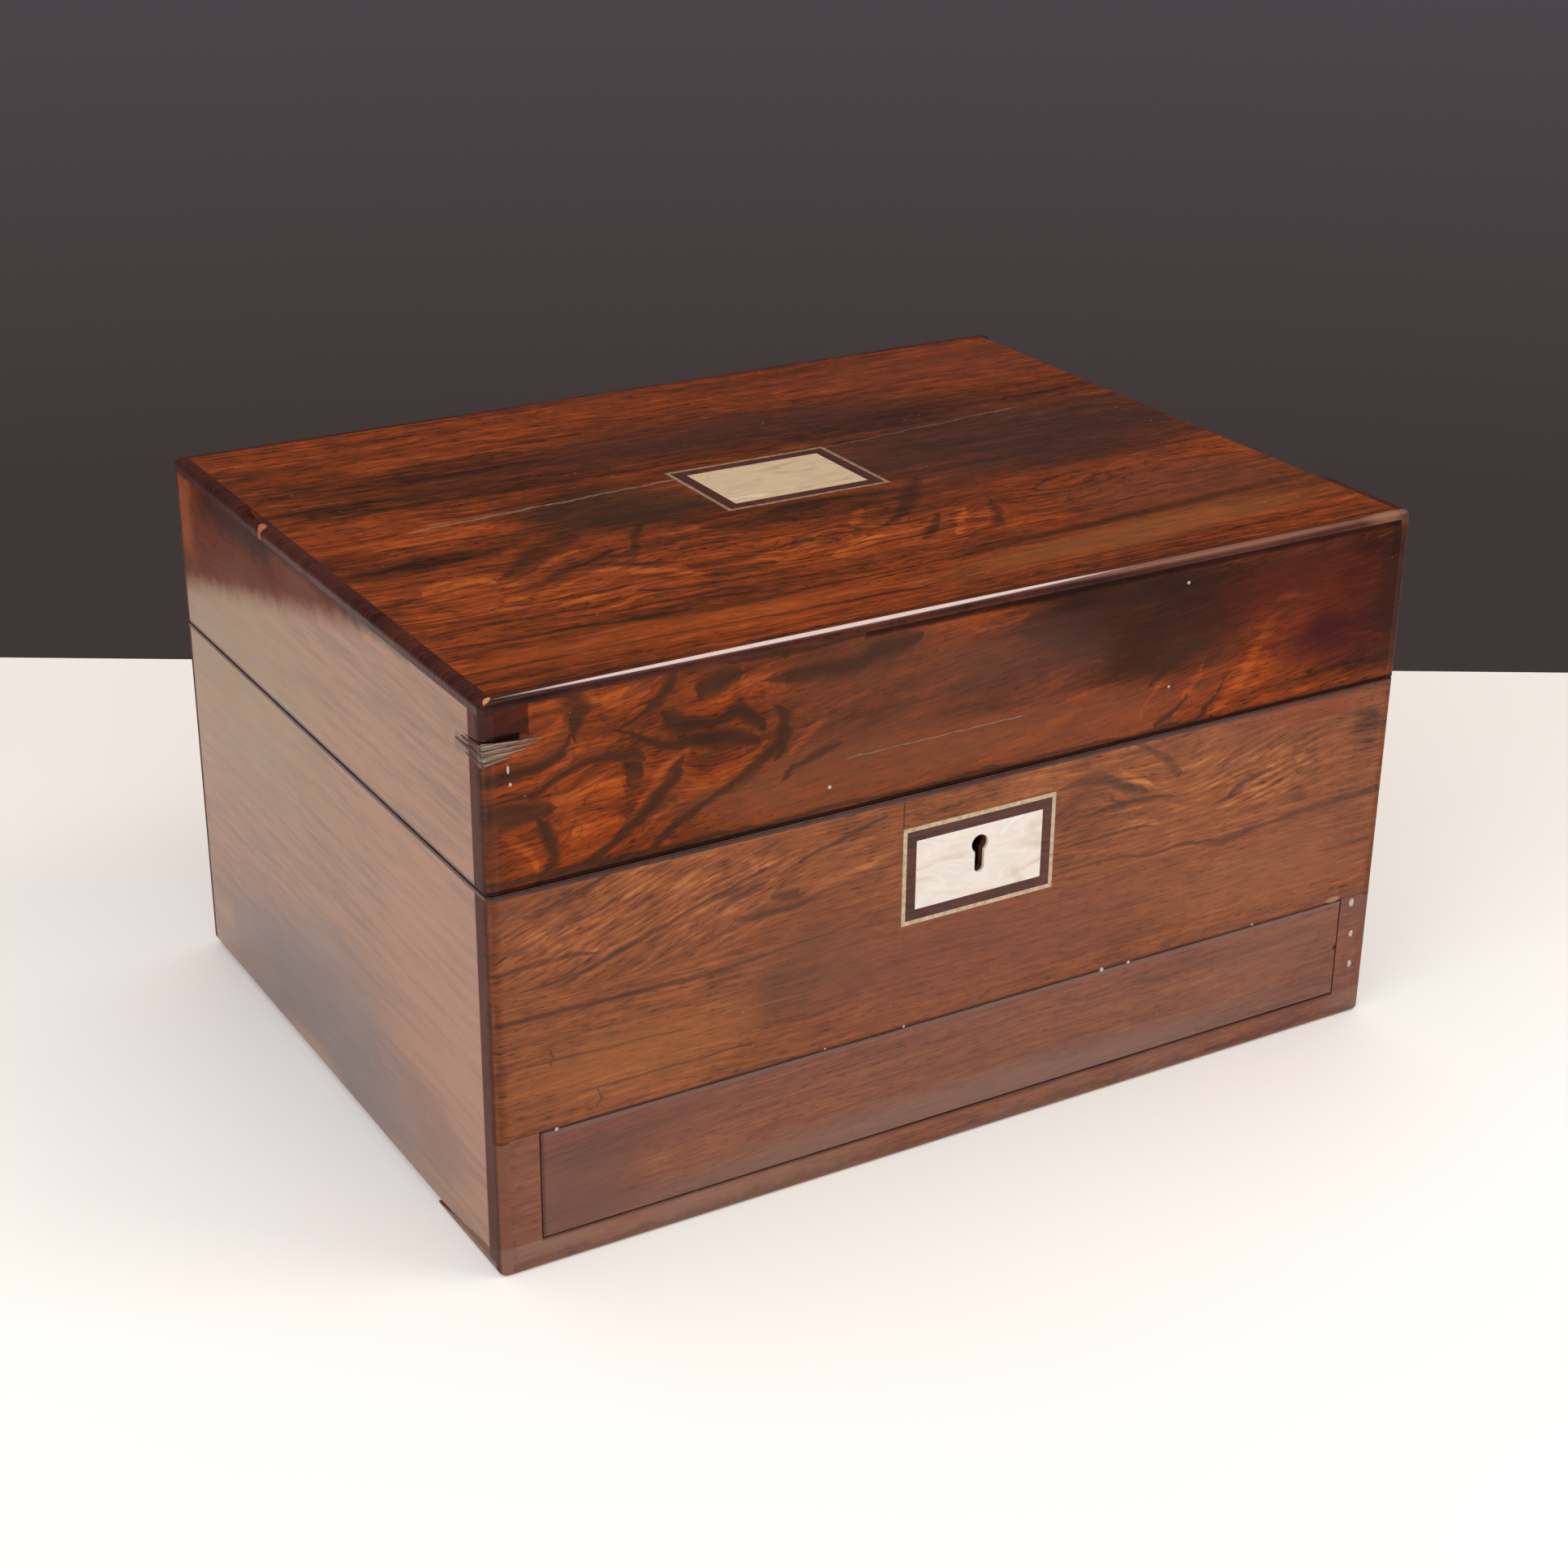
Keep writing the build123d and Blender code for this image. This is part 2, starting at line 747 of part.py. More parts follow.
# Brass pin that holds the drawer shut, raised, and the spring behind the drawer
with BuildPart() as drawer_pin:
    with BuildSketch(Plane.XY.offset(opening_top + pin_rest_gap)):
        with Locations((drawer_pin_x, drawer_pin_y)):
            Circle(drawer_pin_radius)
    extrude(amount=knob_low - opening_top - pin_rest_gap)
    chamfer(drawer_pin.faces().sort_by(Axis.Z)[0].edges(), pin_point)
    with BuildSketch(Plane.XY.offset(knob_low)):
        with Locations((drawer_pin_x, drawer_pin_y)):
            Circle(pin_knob_radius)
    extrude(amount=pin_knob_height)
    fillet(drawer_pin.faces().sort_by(Axis.Z)[-1].edges(), pin_knob_round)
save(drawer_pin, "drawer_pin")

spring_front = drawer_back_y + spring_thickness
with BuildPart() as drawer_spring:
    with BuildSketch(Plane.XY.offset((opening_top + rail_height - spring_height) / 2)):
        with BuildLine() as bow:
            ThreePointArc(
                (-spring_length / 2, spring_front),
                (0, inner_y - spring_thickness / 2),
                (spring_length / 2, spring_front),
            )
        trace(bow.line, spring_thickness)
    extrude(amount=spring_height)
    with Locations(spring_screw):
        add(plain_screw, mode=Mode.SUBTRACT)
save(drawer_spring, "drawer_spring")

# Drawer
drawer_inner_x = drawer_x - drawer_side
drawer_front_back = wall_board - board_y
with BuildPart() as drawer_front:
    block((-drawer_x, drawer_x), (-board_y, drawer_front_back), (drawer_low, drawer_low + drawer_height))
save(drawer_front, "drawer_front")

with BuildPart() as drawer_front_veneer:
    block((-drawer_x, drawer_x), (-half_depth, -board_y), (drawer_low, drawer_low + drawer_height))
    fillet(drawer_front_veneer.faces().sort_by(Axis.Y)[0].edges(), drawer_edge_round)
save(drawer_front_veneer, "drawer_front_veneer")

with BuildPart() as drawer_sides:
    for side in sides:
        block(
            (side * drawer_inner_x, side * drawer_x),
            (drawer_front_back, drawer_back_y),
            (drawer_low, drawer_side_top),
        )
    with BuildSketch(Plane.XY.offset(drawer_side_top)):
        with Locations((drawer_pin_x, drawer_pin_y)):
            Circle(pin_hole_in_drawer)
    extrude(amount=-drawer_pin_travel, mode=Mode.SUBTRACT)
save(drawer_sides, "drawer_sides")

with BuildPart() as drawer_bottom:
    block(
        (-drawer_inner_x, drawer_inner_x),
        (drawer_front_back, drawer_back_y),
        (drawer_low, drawer_low + drawer_bottom_thickness),
    )
save(drawer_bottom, "drawer_bottom")

with BuildPart() as drawer_back:
    block(
        (-drawer_inner_x, drawer_inner_x),
        (drawer_back_y - drawer_side, drawer_back_y),
        (drawer_low + drawer_bottom_thickness, drawer_side_top),
    )
save(drawer_back, "drawer_back")

with BuildPart() as drawer_lining:
    block(
        (-drawer_inner_x, drawer_inner_x),
        (drawer_front_back, drawer_back_y - drawer_side),
        (
            drawer_low + drawer_bottom_thickness,
            drawer_low + drawer_bottom_thickness + drawer_lining_thickness,
        ),
    )
save(drawer_lining, "drawer_lining")

# Lift-out tray with pen trough and ink bottles
tray_x = inner_x - tray_clearance
tray_y = inner_y - tray_clearance
tray_in_x = tray_x - tray_wall
tray_in_y = tray_y - tray_wall
floor_top = tray_low + tray_floor
front_cell = (-tray_in_y, front_cell_depth - tray_in_y)
ink_partition = tray_in_x - ink_cell_width - partition
with BuildPart() as tray_frame:
    for side in sides:
        block((-tray_x, tray_x), (side * tray_in_y, side * tray_y), (tray_low, tray_top))
        block(
            (side * tray_in_x, side * tray_x),
            (joint_gap - tray_in_y, tray_in_y - joint_gap),
            (tray_low, tray_top),
        )
    with BuildSketch(Plane.YZ.offset(-tray_x)):
        with Locations((0, tray_top)):
            Circle(finger_notch_radius)
    extrude(amount=2 * tray_x, mode=Mode.SUBTRACT)
save(tray_frame, "tray_frame")

with BuildPart() as tray_bottom:
    block((-tray_in_x, tray_in_x), (-tray_in_y, tray_in_y), (tray_low, floor_top))
save(tray_bottom, "tray_bottom")

with BuildPart() as tray_partitions:
    shelf = (floor_top, tray_top - partition_drop)
    block((-tray_in_x, tray_in_x), (front_cell[1], front_cell[1] + partition), shelf)
    for side in sides:
        block(
            (side * ink_partition, side * (ink_partition + partition)),
            (front_cell[0], front_cell[1] - joint_gap),
            shelf,
        )
        block(
            (side * middle_cell_width / 2, side * (middle_cell_width / 2 + partition)),
            (front_cell[1] + partition + joint_gap, tray_in_y),
            shelf,
        )
save(tray_partitions, "tray_partitions")

with BuildPart() as pen_trough:
    trough_x = ink_partition - trough_clearance
    block(
        (-trough_x, trough_x),
        (front_cell[0] + trough_clearance, front_cell[1] - trough_clearance),
        (floor_top, floor_top + trough_height),
    )
    with BuildSketch(Plane.YZ.offset(trough_end - trough_x)):
        with Locations(((front_cell[0] + front_cell[1]) / 2, floor_top + trough_height)):
            Circle(trough_radius)
    extrude(amount=2 * (trough_x - trough_end), mode=Mode.SUBTRACT)
save(pen_trough, "pen_trough")

bottle_y = (front_cell[0] + front_cell[1]) / 2
bottle_low = floor_top + tray_rest_gap
bottle_top = bottle_low + bottle_height + neck_height
for side, name in zip(sides, ("left", "right")):
    bottle_x = side * (tray_in_x - ink_cell_width / 2)
    with BuildPart() as bottle:
        with BuildSketch(Plane.XY.offset(bottle_low)):
            with Locations((bottle_x, bottle_y)):
                Rectangle(bottle_size, bottle_size)
        extrude(amount=bottle_height)
        chamfer(bottle.edges().filter_by(Axis.Z), bottle_chamfer)
        chamfer(bottle.faces().sort_by(Axis.Z)[-1].edges(), bottle_shoulder)
        with BuildSketch(Plane.XY.offset(bottle_low + bottle_height)):
            with Locations((bottle_x, bottle_y)):
                Circle(neck_radius)
        extrude(amount=neck_height)
        with BuildSketch(Plane.XY.offset(bottle_low + bottle_floor)):
            with Locations((bottle_x, bottle_y)):
                Circle(bottle_bore)
        extrude(amount=bottle_top - bottle_low - bottle_floor, mode=Mode.SUBTRACT)
    save(bottle, f"{name}_ink_bottle")

    cap_low = bottle_low + bottle_height + cap_gap
    with BuildPart() as cap:
        with BuildSketch(Plane.XY.offset(cap_low)):
            with Locations((bottle_x, bottle_y)):
                Circle(cap_radius)
        extrude(amount=cap_height)
        fillet(cap.faces().sort_by(Axis.Z)[-1].edges(), 2 * cap_wall)
        with BuildSketch(Plane.XY.offset(cap_low)):
            with Locations((bottle_x, bottle_y)):
                Circle(neck_radius + cap_gap)
        extrude(amount=neck_height, mode=Mode.SUBTRACT)
    save(cap, f"{name}_ink_cap")

# Lid boards
edging_low = box_height - side_edging
with BuildPart() as lid_side_panels:
    for side in sides:
        block((side * inner_x, side * board_x), (-board_y, board_y), (lid_rim, lid_ceiling))
        for end in sides:
            block(
                (side * (half_width - corner_strip), side * half_width),
                (end * (half_depth - corner_strip), end * half_depth),
                (lid_rim, box_height),
                Mode.SUBTRACT,
            )
save(lid_side_panels, "lid_side_panels")

with BuildPart() as lid_back_panel:
    block((-inner_x, inner_x), (inner_y, board_y), (lid_rim, lid_ceiling))
    for centre in hinge_centres:
        block(
            (centre - hinge_length / 2, centre + hinge_length / 2),
            (half_depth - hinge_leaf_width, board_y),
            (lid_rim, lid_rim + hinge_leaf),
            Mode.SUBTRACT,
        )
    add(knuckle_room.part, mode=Mode.SUBTRACT)
    with Locations(*lid_hinge_screws):
        add(plain_screw, mode=Mode.SUBTRACT)
save(lid_back_panel, "lid_back_panel")

link_plate_box = (
    (-link_plate_width / 2, link_plate_width / 2),
    (lock_front, lock_back),
    (lid_rim, lid_rim + link_plate_thickness),
)
with BuildPart() as lid_front_panel:
    block((-inner_x, inner_x), (-board_y, -inner_y), (lid_rim, lid_ceiling))
    block(*link_plate_box, Mode.SUBTRACT)
    with Locations(*link_screws):
        add(plain_screw, mode=Mode.SUBTRACT)
save(lid_front_panel, "lid_front_panel")

with BuildPart() as lid_top_board:
    block(
        (side_edging - half_width, half_width - side_edging),
        (-board_y, half_depth - side_edging),
        (lid_ceiling, box_height - veneer),
    )
    block((-board_x, board_x), (-board_y, board_y), (lid_ceiling, edging_low))
    block(
        (-half_width, half_width),
        (-half_depth, front_edging - half_depth),
        (box_height - front_edging, box_height),
        Mode.SUBTRACT,
    )
    for side in sides:
        for end in sides:
            block(
                (side * (half_width - corner_strip), side * half_width),
                (end * (half_depth - corner_strip), end * half_depth),
                (lid_ceiling, edging_low),
                Mode.SUBTRACT,
            )
save(lid_top_board, "lid_top_board")

with BuildPart() as lid_lining:
    block(
        (lid_lining_clearance - inner_x, inner_x - lid_lining_clearance),
        (lid_lining_clearance - inner_y, inner_y - lid_lining_clearance),
        (lid_ceiling - lid_lining_thickness, lid_ceiling),
    )
save(lid_lining, "lid_lining")

# Outer skins of the lid
with BuildPart() as lid_top_veneer:
    block(
        (side_edging - half_width, half_width - side_edging),
        (front_edging - half_depth, half_depth - side_edging),
        (box_height - veneer, box_height),
    )
    with BuildSketch(top_plane):
        with Locations((top_inlay_x, top_inlay_y)):
            Rectangle(top_inlay_width, top_inlay_depth)
    extrude(amount=-veneer, mode=Mode.SUBTRACT)
save(lid_top_veneer, "lid_top_veneer")

with BuildPart() as lid_front_veneer:
    block(
        (corner_strip - half_width, half_width - corner_strip),
        (-half_depth, -board_y),
        (lid_rim, edging_low),
    )
    block(
        (side_edging - half_width, half_width - side_edging),
        (-half_depth, -board_y),
        (lid_rim, box_height - front_edging),
    )
    add(corner_split.part, mode=Mode.SUBTRACT)
save(lid_front_veneer, "lid_front_veneer")

with BuildPart() as lid_side_veneers:
    for side in sides:
        block(
            (side * board_x, side * half_width),
            (corner_strip - half_depth, half_depth - corner_strip),
            (lid_rim, edging_low),
        )
    block(
        (corner_strip - half_width, half_width - corner_strip),
        (board_y, half_depth),
        (lid_rim, edging_low),
    )
    add(knuckle_room.part, mode=Mode.SUBTRACT)
    add(corner_split.part, mode=Mode.SUBTRACT)
save(lid_side_veneers, "lid_side_veneers")

with BuildPart() as lid_corner_strips:
    for side in sides:
        for end in sides:
            block(
                (side * (half_width - corner_strip), side * half_width),
                (end * (half_depth - corner_strip), end * half_depth),
                (lid_rim, edging_low),
            )
    add(lid_outline.part, mode=Mode.INTERSECT)
    add(corner_split.part, mode=Mode.SUBTRACT)
save(lid_corner_strips, "lid_corner_strips")

with BuildPart() as lid_edgings:
    block(
        (side_edging - half_width + joint_gap, half_width - side_edging - joint_gap),
        (-half_depth, front_edging - half_depth),
        (box_height - front_edging, box_height),
    )
    block((-half_width, half_width), (half_depth - side_edging, half_depth), (edging_low, box_height))
    block(
        (-half_width, side_edging - half_width),
        (-half_depth, half_depth - side_edging - joint_gap),
        (edging_low, box_height),
    )
    add(lid_outline.part, mode=Mode.INTERSECT)
    with BuildSketch(Plane.YZ.offset(-half_width)):
        with BuildLine():
            Polyline(
                (chip_y - chip_length / 2, box_height),
                (chip_y - chip_length / 5, box_height - chip_depth),
                (chip_y + chip_length / 4, box_height - 0.7 * chip_depth),
                (chip_y + chip_length / 2, box_height),
                close=True,
            )
        make_face()
    extrude(amount=side_edging, mode=Mode.SUBTRACT)
save(lid_edgings, "lid_edgings")

with BuildPart() as lid_right_edging:
    with BuildSketch(Plane.XY.offset(edging_low)):
        with BuildLine():
            Polyline(
                (half_width - side_edging, right_edging_inner_length - half_depth),
                (half_width, right_edging_outer_length - half_depth),
                (half_width, -half_depth),
                (half_width - side_edging, -half_depth),
                close=True,
            )
        make_face()
    extrude(amount=side_edging)
    add(lid_outline.part, mode=Mode.INTERSECT)
save(lid_right_edging, "lid_right_edging")

with BuildPart() as lid_plate_band:
    with BuildSketch(top_plane):
        with Locations((top_inlay_x, top_inlay_y)):
            Rectangle(top_inlay_width - 2 * stringing, top_inlay_depth - 2 * stringing)
            Rectangle(
                top_inlay_width - 2 * (stringing + top_band),
                top_inlay_depth - 2 * (stringing + top_band),
                mode=Mode.SUBTRACT,
            )
    extrude(amount=-veneer)
save(lid_plate_band, "lid_plate_band")

with BuildPart() as lid_plate:
    with BuildSketch(top_plane):
        with Locations((top_inlay_x, top_inlay_y)):
            Rectangle(
                top_inlay_width - 2 * (stringing + top_band),
                top_inlay_depth - 2 * (stringing + top_band),
            )
    extrude(amount=-veneer)
save(lid_plate, "lid_plate")

# Link plate with its two staples, let into the lid's front rim
with BuildPart() as link_plate:
    block(*link_plate_box)
    for side in sides:
        staple = side * staple_spacing / 2
        block(
            (staple - staple_thickness / 2, staple + staple_thickness / 2),
            (lock_middle - staple_width / 2, lock_middle + staple_width / 2),
            (lid_rim - staple_length, lid_rim),
        )
        block(
            (staple - staple_thickness, staple + staple_thickness),
            (lock_middle - staple_width / 2 + staple_side, lock_middle + staple_width / 2 - staple_side),
            (tongue_low - (staple_eye - tongue_height) / 2, tongue_low + (staple_eye + tongue_height) / 2),
            Mode.SUBTRACT,
        )
    with Locations(*link_screws):
        add(plain_screw, mode=Mode.SUBTRACT)
save(link_plate, "link_plate")

with BuildPart() as lid_screws:
    with Locations(*lid_hinge_screws, *link_screws):
        add(slotted_screw)
save(lid_screws, "lid_screws")
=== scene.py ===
import math
from functools import partial

import bpy
from mathutils import Matrix, Vector


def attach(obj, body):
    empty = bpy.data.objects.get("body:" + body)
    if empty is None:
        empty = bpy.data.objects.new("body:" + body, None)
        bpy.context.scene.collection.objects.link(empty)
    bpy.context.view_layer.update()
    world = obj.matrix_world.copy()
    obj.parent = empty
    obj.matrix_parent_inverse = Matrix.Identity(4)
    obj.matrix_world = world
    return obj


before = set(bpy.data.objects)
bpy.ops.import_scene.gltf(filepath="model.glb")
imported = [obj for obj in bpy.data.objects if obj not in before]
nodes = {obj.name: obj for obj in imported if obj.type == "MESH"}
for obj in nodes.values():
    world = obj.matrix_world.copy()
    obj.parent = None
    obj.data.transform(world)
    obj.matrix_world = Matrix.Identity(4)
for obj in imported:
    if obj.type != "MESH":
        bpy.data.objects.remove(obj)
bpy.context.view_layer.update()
bpy.ops.object.select_all(action="DESELECT")
print("frame loaded:", len(nodes), "pieces from the workshop drawing")

mm = 0.001  # the looks below give places and sizes in millimetres
shutBox = {"halfWidth": 152.5, "halfDepth": 113.5, "top": 170.0}  # its outer faces; the hinges stand behind


def linear(hexCode):
    parts = [int(hexCode[i:i + 2], 16) / 255 for i in (1, 3, 5)]
    return tuple(c / 12.92 if c <= 0.04045 else ((c + 0.055) / 1.055) ** 2.4 for c in parts) + (1.0,)


def feed(node, feeds):
    for socket, source in feeds.items():
        if isinstance(source, bpy.types.Node):
            source = source.outputs[0]
        if isinstance(source, bpy.types.NodeSocket):
            node.id_data.links.new(source, node.inputs[socket])
        else:
            node.inputs[socket].default_value = source


# a new node: its operation or blend follows its kind, its inputs come by place or by name in one dictionary
# by place, a MapRange takes the value, the two ends it comes from and the two ends it goes to
def put(tree, kind, *inputs, **settings):
    kind, *mode = kind.split()
    node = tree.nodes.new("ShaderNode" + kind)
    if mode:
        settings["interpolation_type" if kind == "MapRange" else "operation"] = mode[0]
    for key, value in settings.items():
        setattr(node, key, value)
    named = len(inputs) == 1 and isinstance(inputs[0], dict)
    feed(node, inputs[0] if named else dict(enumerate(inputs)))
    return node


def newMaterial(name):
    material = bpy.data.materials.new(name)
    material.use_nodes = True
    material.node_tree.nodes.clear()
    add = partial(put, material.node_tree)
    shader = add("BsdfPrincipled")
    add("OutputMaterial", {"Surface": shader})
    objectPoint = add("TexCoord").outputs["Object"]
    inMm = add("VectorMath SCALE", {0: objectPoint, "Scale": 1 / mm})
    return material, add, shader, inMm


# noise with blobs of this length and height, another pattern for each layer
def stretched(add, vector, length, height, layer, detail=3.0, roughness=0.55):
    scaled = add("VectorMath MULTIPLY", vector, (1 / length, 1 / height, layer))
    return add("TexNoise", {"Vector": scaled, "Scale": 1.0, "Detail": detail, "Roughness": roughness})


# the shades in turn as the value goes from low to high
def shadeRamp(add, value, shades, low=0.0, high=1.0):
    ramp = add("ValToRGB", value)
    elements = ramp.color_ramp.elements
    while len(elements) < len(shades):
        elements.new(0.5)
    for i, shade in enumerate(shades):
        elements[i].position = low + (high - low) * i / (len(shades) - 1)
        elements[i].color = linear(shade)
    return ramp.outputs["Color"]


def tinted(add, base, mask, shade):
    return add("Mix", {0: mask, 6: base, 7: linear(shade)}, data_type="RGBA").outputs[2]


def bumped(add, height, strength, depth):
    return add("Bump", {"Height": height, "Strength": strength, "Distance": depth * mm})


def dress(material, *names):
    for name in names:
        slots = nodes[name].material_slots
        if not slots:
            nodes[name].data.materials.append(material)
        for slot in nodes[name].material_slots:
            slot.material = material


# Camera, from the box's own corners in the photograph
view = {"turn": -30.754, "height": 24.518, "distance": 0.87709, "aim": (0.00267, 0, 0.06843),
        "roll": 0.5565, "lens": 62.803}
turn, height = math.radians(view["turn"]), math.radians(view["height"])
away = Vector((math.sin(turn) * math.cos(height), -math.cos(turn) * math.cos(height), math.sin(height)))
across = (-away).cross(Vector((0, 0, 1))).normalized()
upward = across.cross(-away)
roll = math.radians(view["roll"])
cosine, sine = math.cos(roll), math.sin(roll)
across, upward = across * cosine + upward * sine, upward * cosine - across * sine
bpy.ops.object.camera_add()
camera = bpy.context.object
camera.name = "tableCamera"
camera.data.lens = view["lens"]
camera.data.sensor_width = 36
camera.data.clip_start = 0.01
place = Matrix((across, upward, away)).transposed().to_4x4()
place.translation = Vector(view["aim"]) + away * view["distance"]
camera.matrix_world = place
bpy.context.scene.camera = camera
print("camera set")


# Rosewood: Brazilian rosewood veneer, hand cut, brown to orange with black figure, French polished and worn.
# That gives deep colour under a soft gloss, open pores as short dark dashes, and dulled, dusty edges.
# Every place and size in the looks below is in millimetres on the surface, along the grain and over it.
# A wild, slant, patch or stain is an ellipse: middle along and over, half length, half height, turn. Then
# come the amount for a wild part, lean and core for a slant, change of tone for a patch, shade and amount for
# a stain. A mark or glow is a stroke through points: along, over, half width, with over first if upright.
# A bit is a rectangle: two ends along, two over, shade, amount, softness, raggedness, how far it is raised.
plainWood = {
    "wild": [], "slants": [], "patches": [], "stains": [], "marks": [], "uprightMarks": [], "glows": [],
    "bits": [], "cracks": [], "dots": [], "feather": 1.6, "figureLean": 25, "figureLength": 34,
    "figureHeight": 15, "figureWidth": 0.05, "figure": 0.0, "slope": 0.0, "fibreLength": 15,
    "fibreHeight": 1.15, "poreLength": 4.2, "blotch": 0.06, "shake": 4.0, "glow": 0.2, "mark": 0.4,
    "slantMore": 0, "tintAmount": 0.25, "figureShade": "#2b1a12", "markTint": 0.4, "wearReach": 5.0,
    "wear": 0.5, "grime": 0.3, "wornShade": "#8a5637", "ripple": 2.5, "speck": 0.5, "speckSpacing": 7.0,
    "shine": 0.5, "coatRough": 0.16,
}
grainTurns = {"front": ("X", "Z", "Y"), "top": ("X", "Y", "Z"), "side": ("Y", "Z", "X"),
              "post": ("Z", "X", "Y")}


def rosewood(name, look):
    material, add, shader, inMm = newMaterial(name)
    look = {**plainWood, **look}
    seed = look["seed"]

    # 0 outside a turned ellipse, full strength inside its core
    def spotMask(vector, spot, strength=1.0, core=0.3):
        x, y, length, height, turn = spot
        local = add("Mapping",
                    {"Vector": vector, "Location": (x, y, seed), "Rotation": (0, 0, math.radians(turn)),
                     "Scale": (length, height, 1000.0)}, vector_type="TEXTURE")
        reach = add("VectorMath LENGTH", local).outputs["Value"]
        return add("MapRange SMOOTHSTEP", reach, 1.0, core, 0, strength)

    def curve(where, points, low, high):  # a smooth curve through the points, read at 0 to 1
        node = add("FloatCurve", {"Value": where})
        spots = node.mapping.curves[0].points
        while len(spots) < len(points):
            spots.new(0.5, 0.5)
        for i, (x, y) in enumerate(points):
            spots[i].location = (x, (y - low) / max(high - low, 0.001))
        node.mapping.update()
        return add("Math MULTIPLY_ADD", node, max(high - low, 0.001), low)

    # how deep inside the nearest stroke, whose points are (run, rise, half width)
    def drawn(run, rise, strokes):
        nearest = add("Math ADD", -1.0, 0.0)
        for points in strokes:
            runs, rises, widths = zip(*points)
            parts = [(at - runs[0]) / (runs[-1] - runs[0]) for at in runs]
            where = add("MapRange", run, runs[0], runs[-1])
            centre = curve(where, list(zip(parts, rises)), min(rises), max(rises))
            half = curve(where, list(zip(parts, widths)), 0.0, max(widths))
            half = add("Math MAXIMUM", half, 0.01)
            off = add("Math ABSOLUTE", add("Math SUBTRACT", rise, centre))
            inside = add("Math SUBTRACT", 1.0, add("Math DIVIDE", off, half))
            nearest = add("Math MAXIMUM", nearest, inside)
        return nearest

    def feathered(nearest):
        frayed = add("Math MULTIPLY_ADD", add("Math SUBTRACT", fibres, 0.5), look["feather"], nearest)
        return add("MapRange SMOOTHSTEP", frayed, -0.55, 0.75)

    axes = add("SeparateXYZ", inMm)
    along, over = (axes.outputs[axis] for axis in grainTurns[look["grain"]][:2])
    if look["grain"] == "side":  # the grain goes on round the back and the right side
        beyond = add("Math ADD", axes.outputs["X"], shutBox["halfWidth"] - 0.5)
        beyond = add("Math MAXIMUM", beyond, 0.0)
        along = add("Math ADD", along, beyond).outputs[0]
    flat = add("CombineXYZ", along, over, seed)

    # the figure wanders off the straight grain: a broad drift, then curls where the wood was wild
    broad = stretched(add, flat, 95, 34, 0.37, 2.0, 0.45).outputs["Color"]
    broad = add("VectorMath SUBTRACT", broad, (0.5, 0.5, 0.5))
    drifted = add("VectorMath MULTIPLY_ADD", broad, (0.0, look["drift"], 0), flat)
    wild = add("Math ADD", 0.08, 0.0)  # up to 1 where the figure curls
    for *spot, amount in look["wild"]:
        wild = add("Math MAXIMUM", wild, spotMask(drifted, spot, amount))
    curl = stretched(add, drifted, look["curlLength"], look["curlHeight"], 1.9, 1.5, 0.4).outputs["Color"]
    curl = add("VectorMath SUBTRACT", curl, (0.5, 0.5, 0.5))
    curl = add("VectorMath MULTIPLY", curl, (look["curl"], look["curl"], 0.0))
    curl = add("VectorMath SCALE", {0: curl, "Scale": wild})
    warped = add("VectorMath ADD", drifted, curl)

    # growth bands a few millimetres apart, and the thin dark pigment lines between them
    bands = stretched(add, warped, look["bandLength"], look["bandHeight"], 1.0, 4.0, 0.6)
    rise = add("SeparateXYZ", warped).outputs["Y"]
    phase = add("Math MULTIPLY", rise, math.tau / look["lineSpacing"])
    phase = add("Math MULTIPLY_ADD", bands, look["lineMix"] * math.tau, phase)
    lines = add("MapRange SMOOTHSTEP", add("Math SINE", phase), look["lineEdge"], 1.0)
    lineKeep = add("MapRange SMOOTHSTEP", stretched(add, warped, 60, 9, 3.1, 2.0), 0.42, 0.62)
    lines = add("Math MULTIPLY", lines, lineKeep)

    # the black figure of the wild parts: a broken net of lines that swell and thin, leaning across the grain
    lean = math.radians(-look["figureLean"])
    leaning = add("Mapping", {"Vector": warped, "Rotation": (0, 0, lean)})
    network = stretched(add, leaning, look["figureLength"], look["figureHeight"], 5.3, 2.5, 0.5)
    network = add("Math ABSOLUTE", add("Math SUBTRACT", network, 0.5))
    swell = add("MapRange", stretched(add, leaning, 20, 12, 8.1, 2.0), 0.3, 0.7, 0.004, look["figureWidth"])
    network = add("Math DIVIDE", network, swell)
    network = add("MapRange SMOOTHSTEP", network, 1.0, 0.35)
    shown = add("MapRange SMOOTHSTEP", wild, 0.15, 0.7, 0, look["figure"])
    network = add("Math MULTIPLY", network, shown)

    # fibres about 1 mm wide and pores 2 to 5 mm long, drawn a little coarser than life so that they show
    wavy = add("VectorMath ADD", drifted, add("VectorMath SCALE", {0: curl, "Scale": 0.6}))
    slope = math.radians(-look["slope"])
    straight = add("Mapping", {"Vector": wavy, "Rotation": (0, 0, slope)})
    fibres = stretched(add, straight, look["fibreLength"], look["fibreHeight"], 1.0, 4.0, 0.62)
    pores = stretched(add, straight, look["poreLength"], 0.62, 4.0, 1.0, 0.5)
    slanted = add("Math ADD", 0.0, 0.0)
    for *spot, lean, core in look["slants"]:
        tilted = add("Mapping", {"Vector": wavy, "Rotation": (0, 0, math.radians(-lean))})
        mask = spotMask(flat, spot, core=core)
        fibres = add("Mix", {0: mask, 2: fibres, 3: stretched(add, tilted, 11, 1.3, 1.0, 4.0, 0.62)})
        pores = add("Mix", {0: mask, 2: pores, 3: stretched(add, tilted, 4.5, 0.75, 4.0, 1.0, 0.5)})
        slanted = add("Math MAXIMUM", slanted, mask)
    poreHoles = add("MapRange SMOOTHSTEP", pores, 0.58, 0.7)

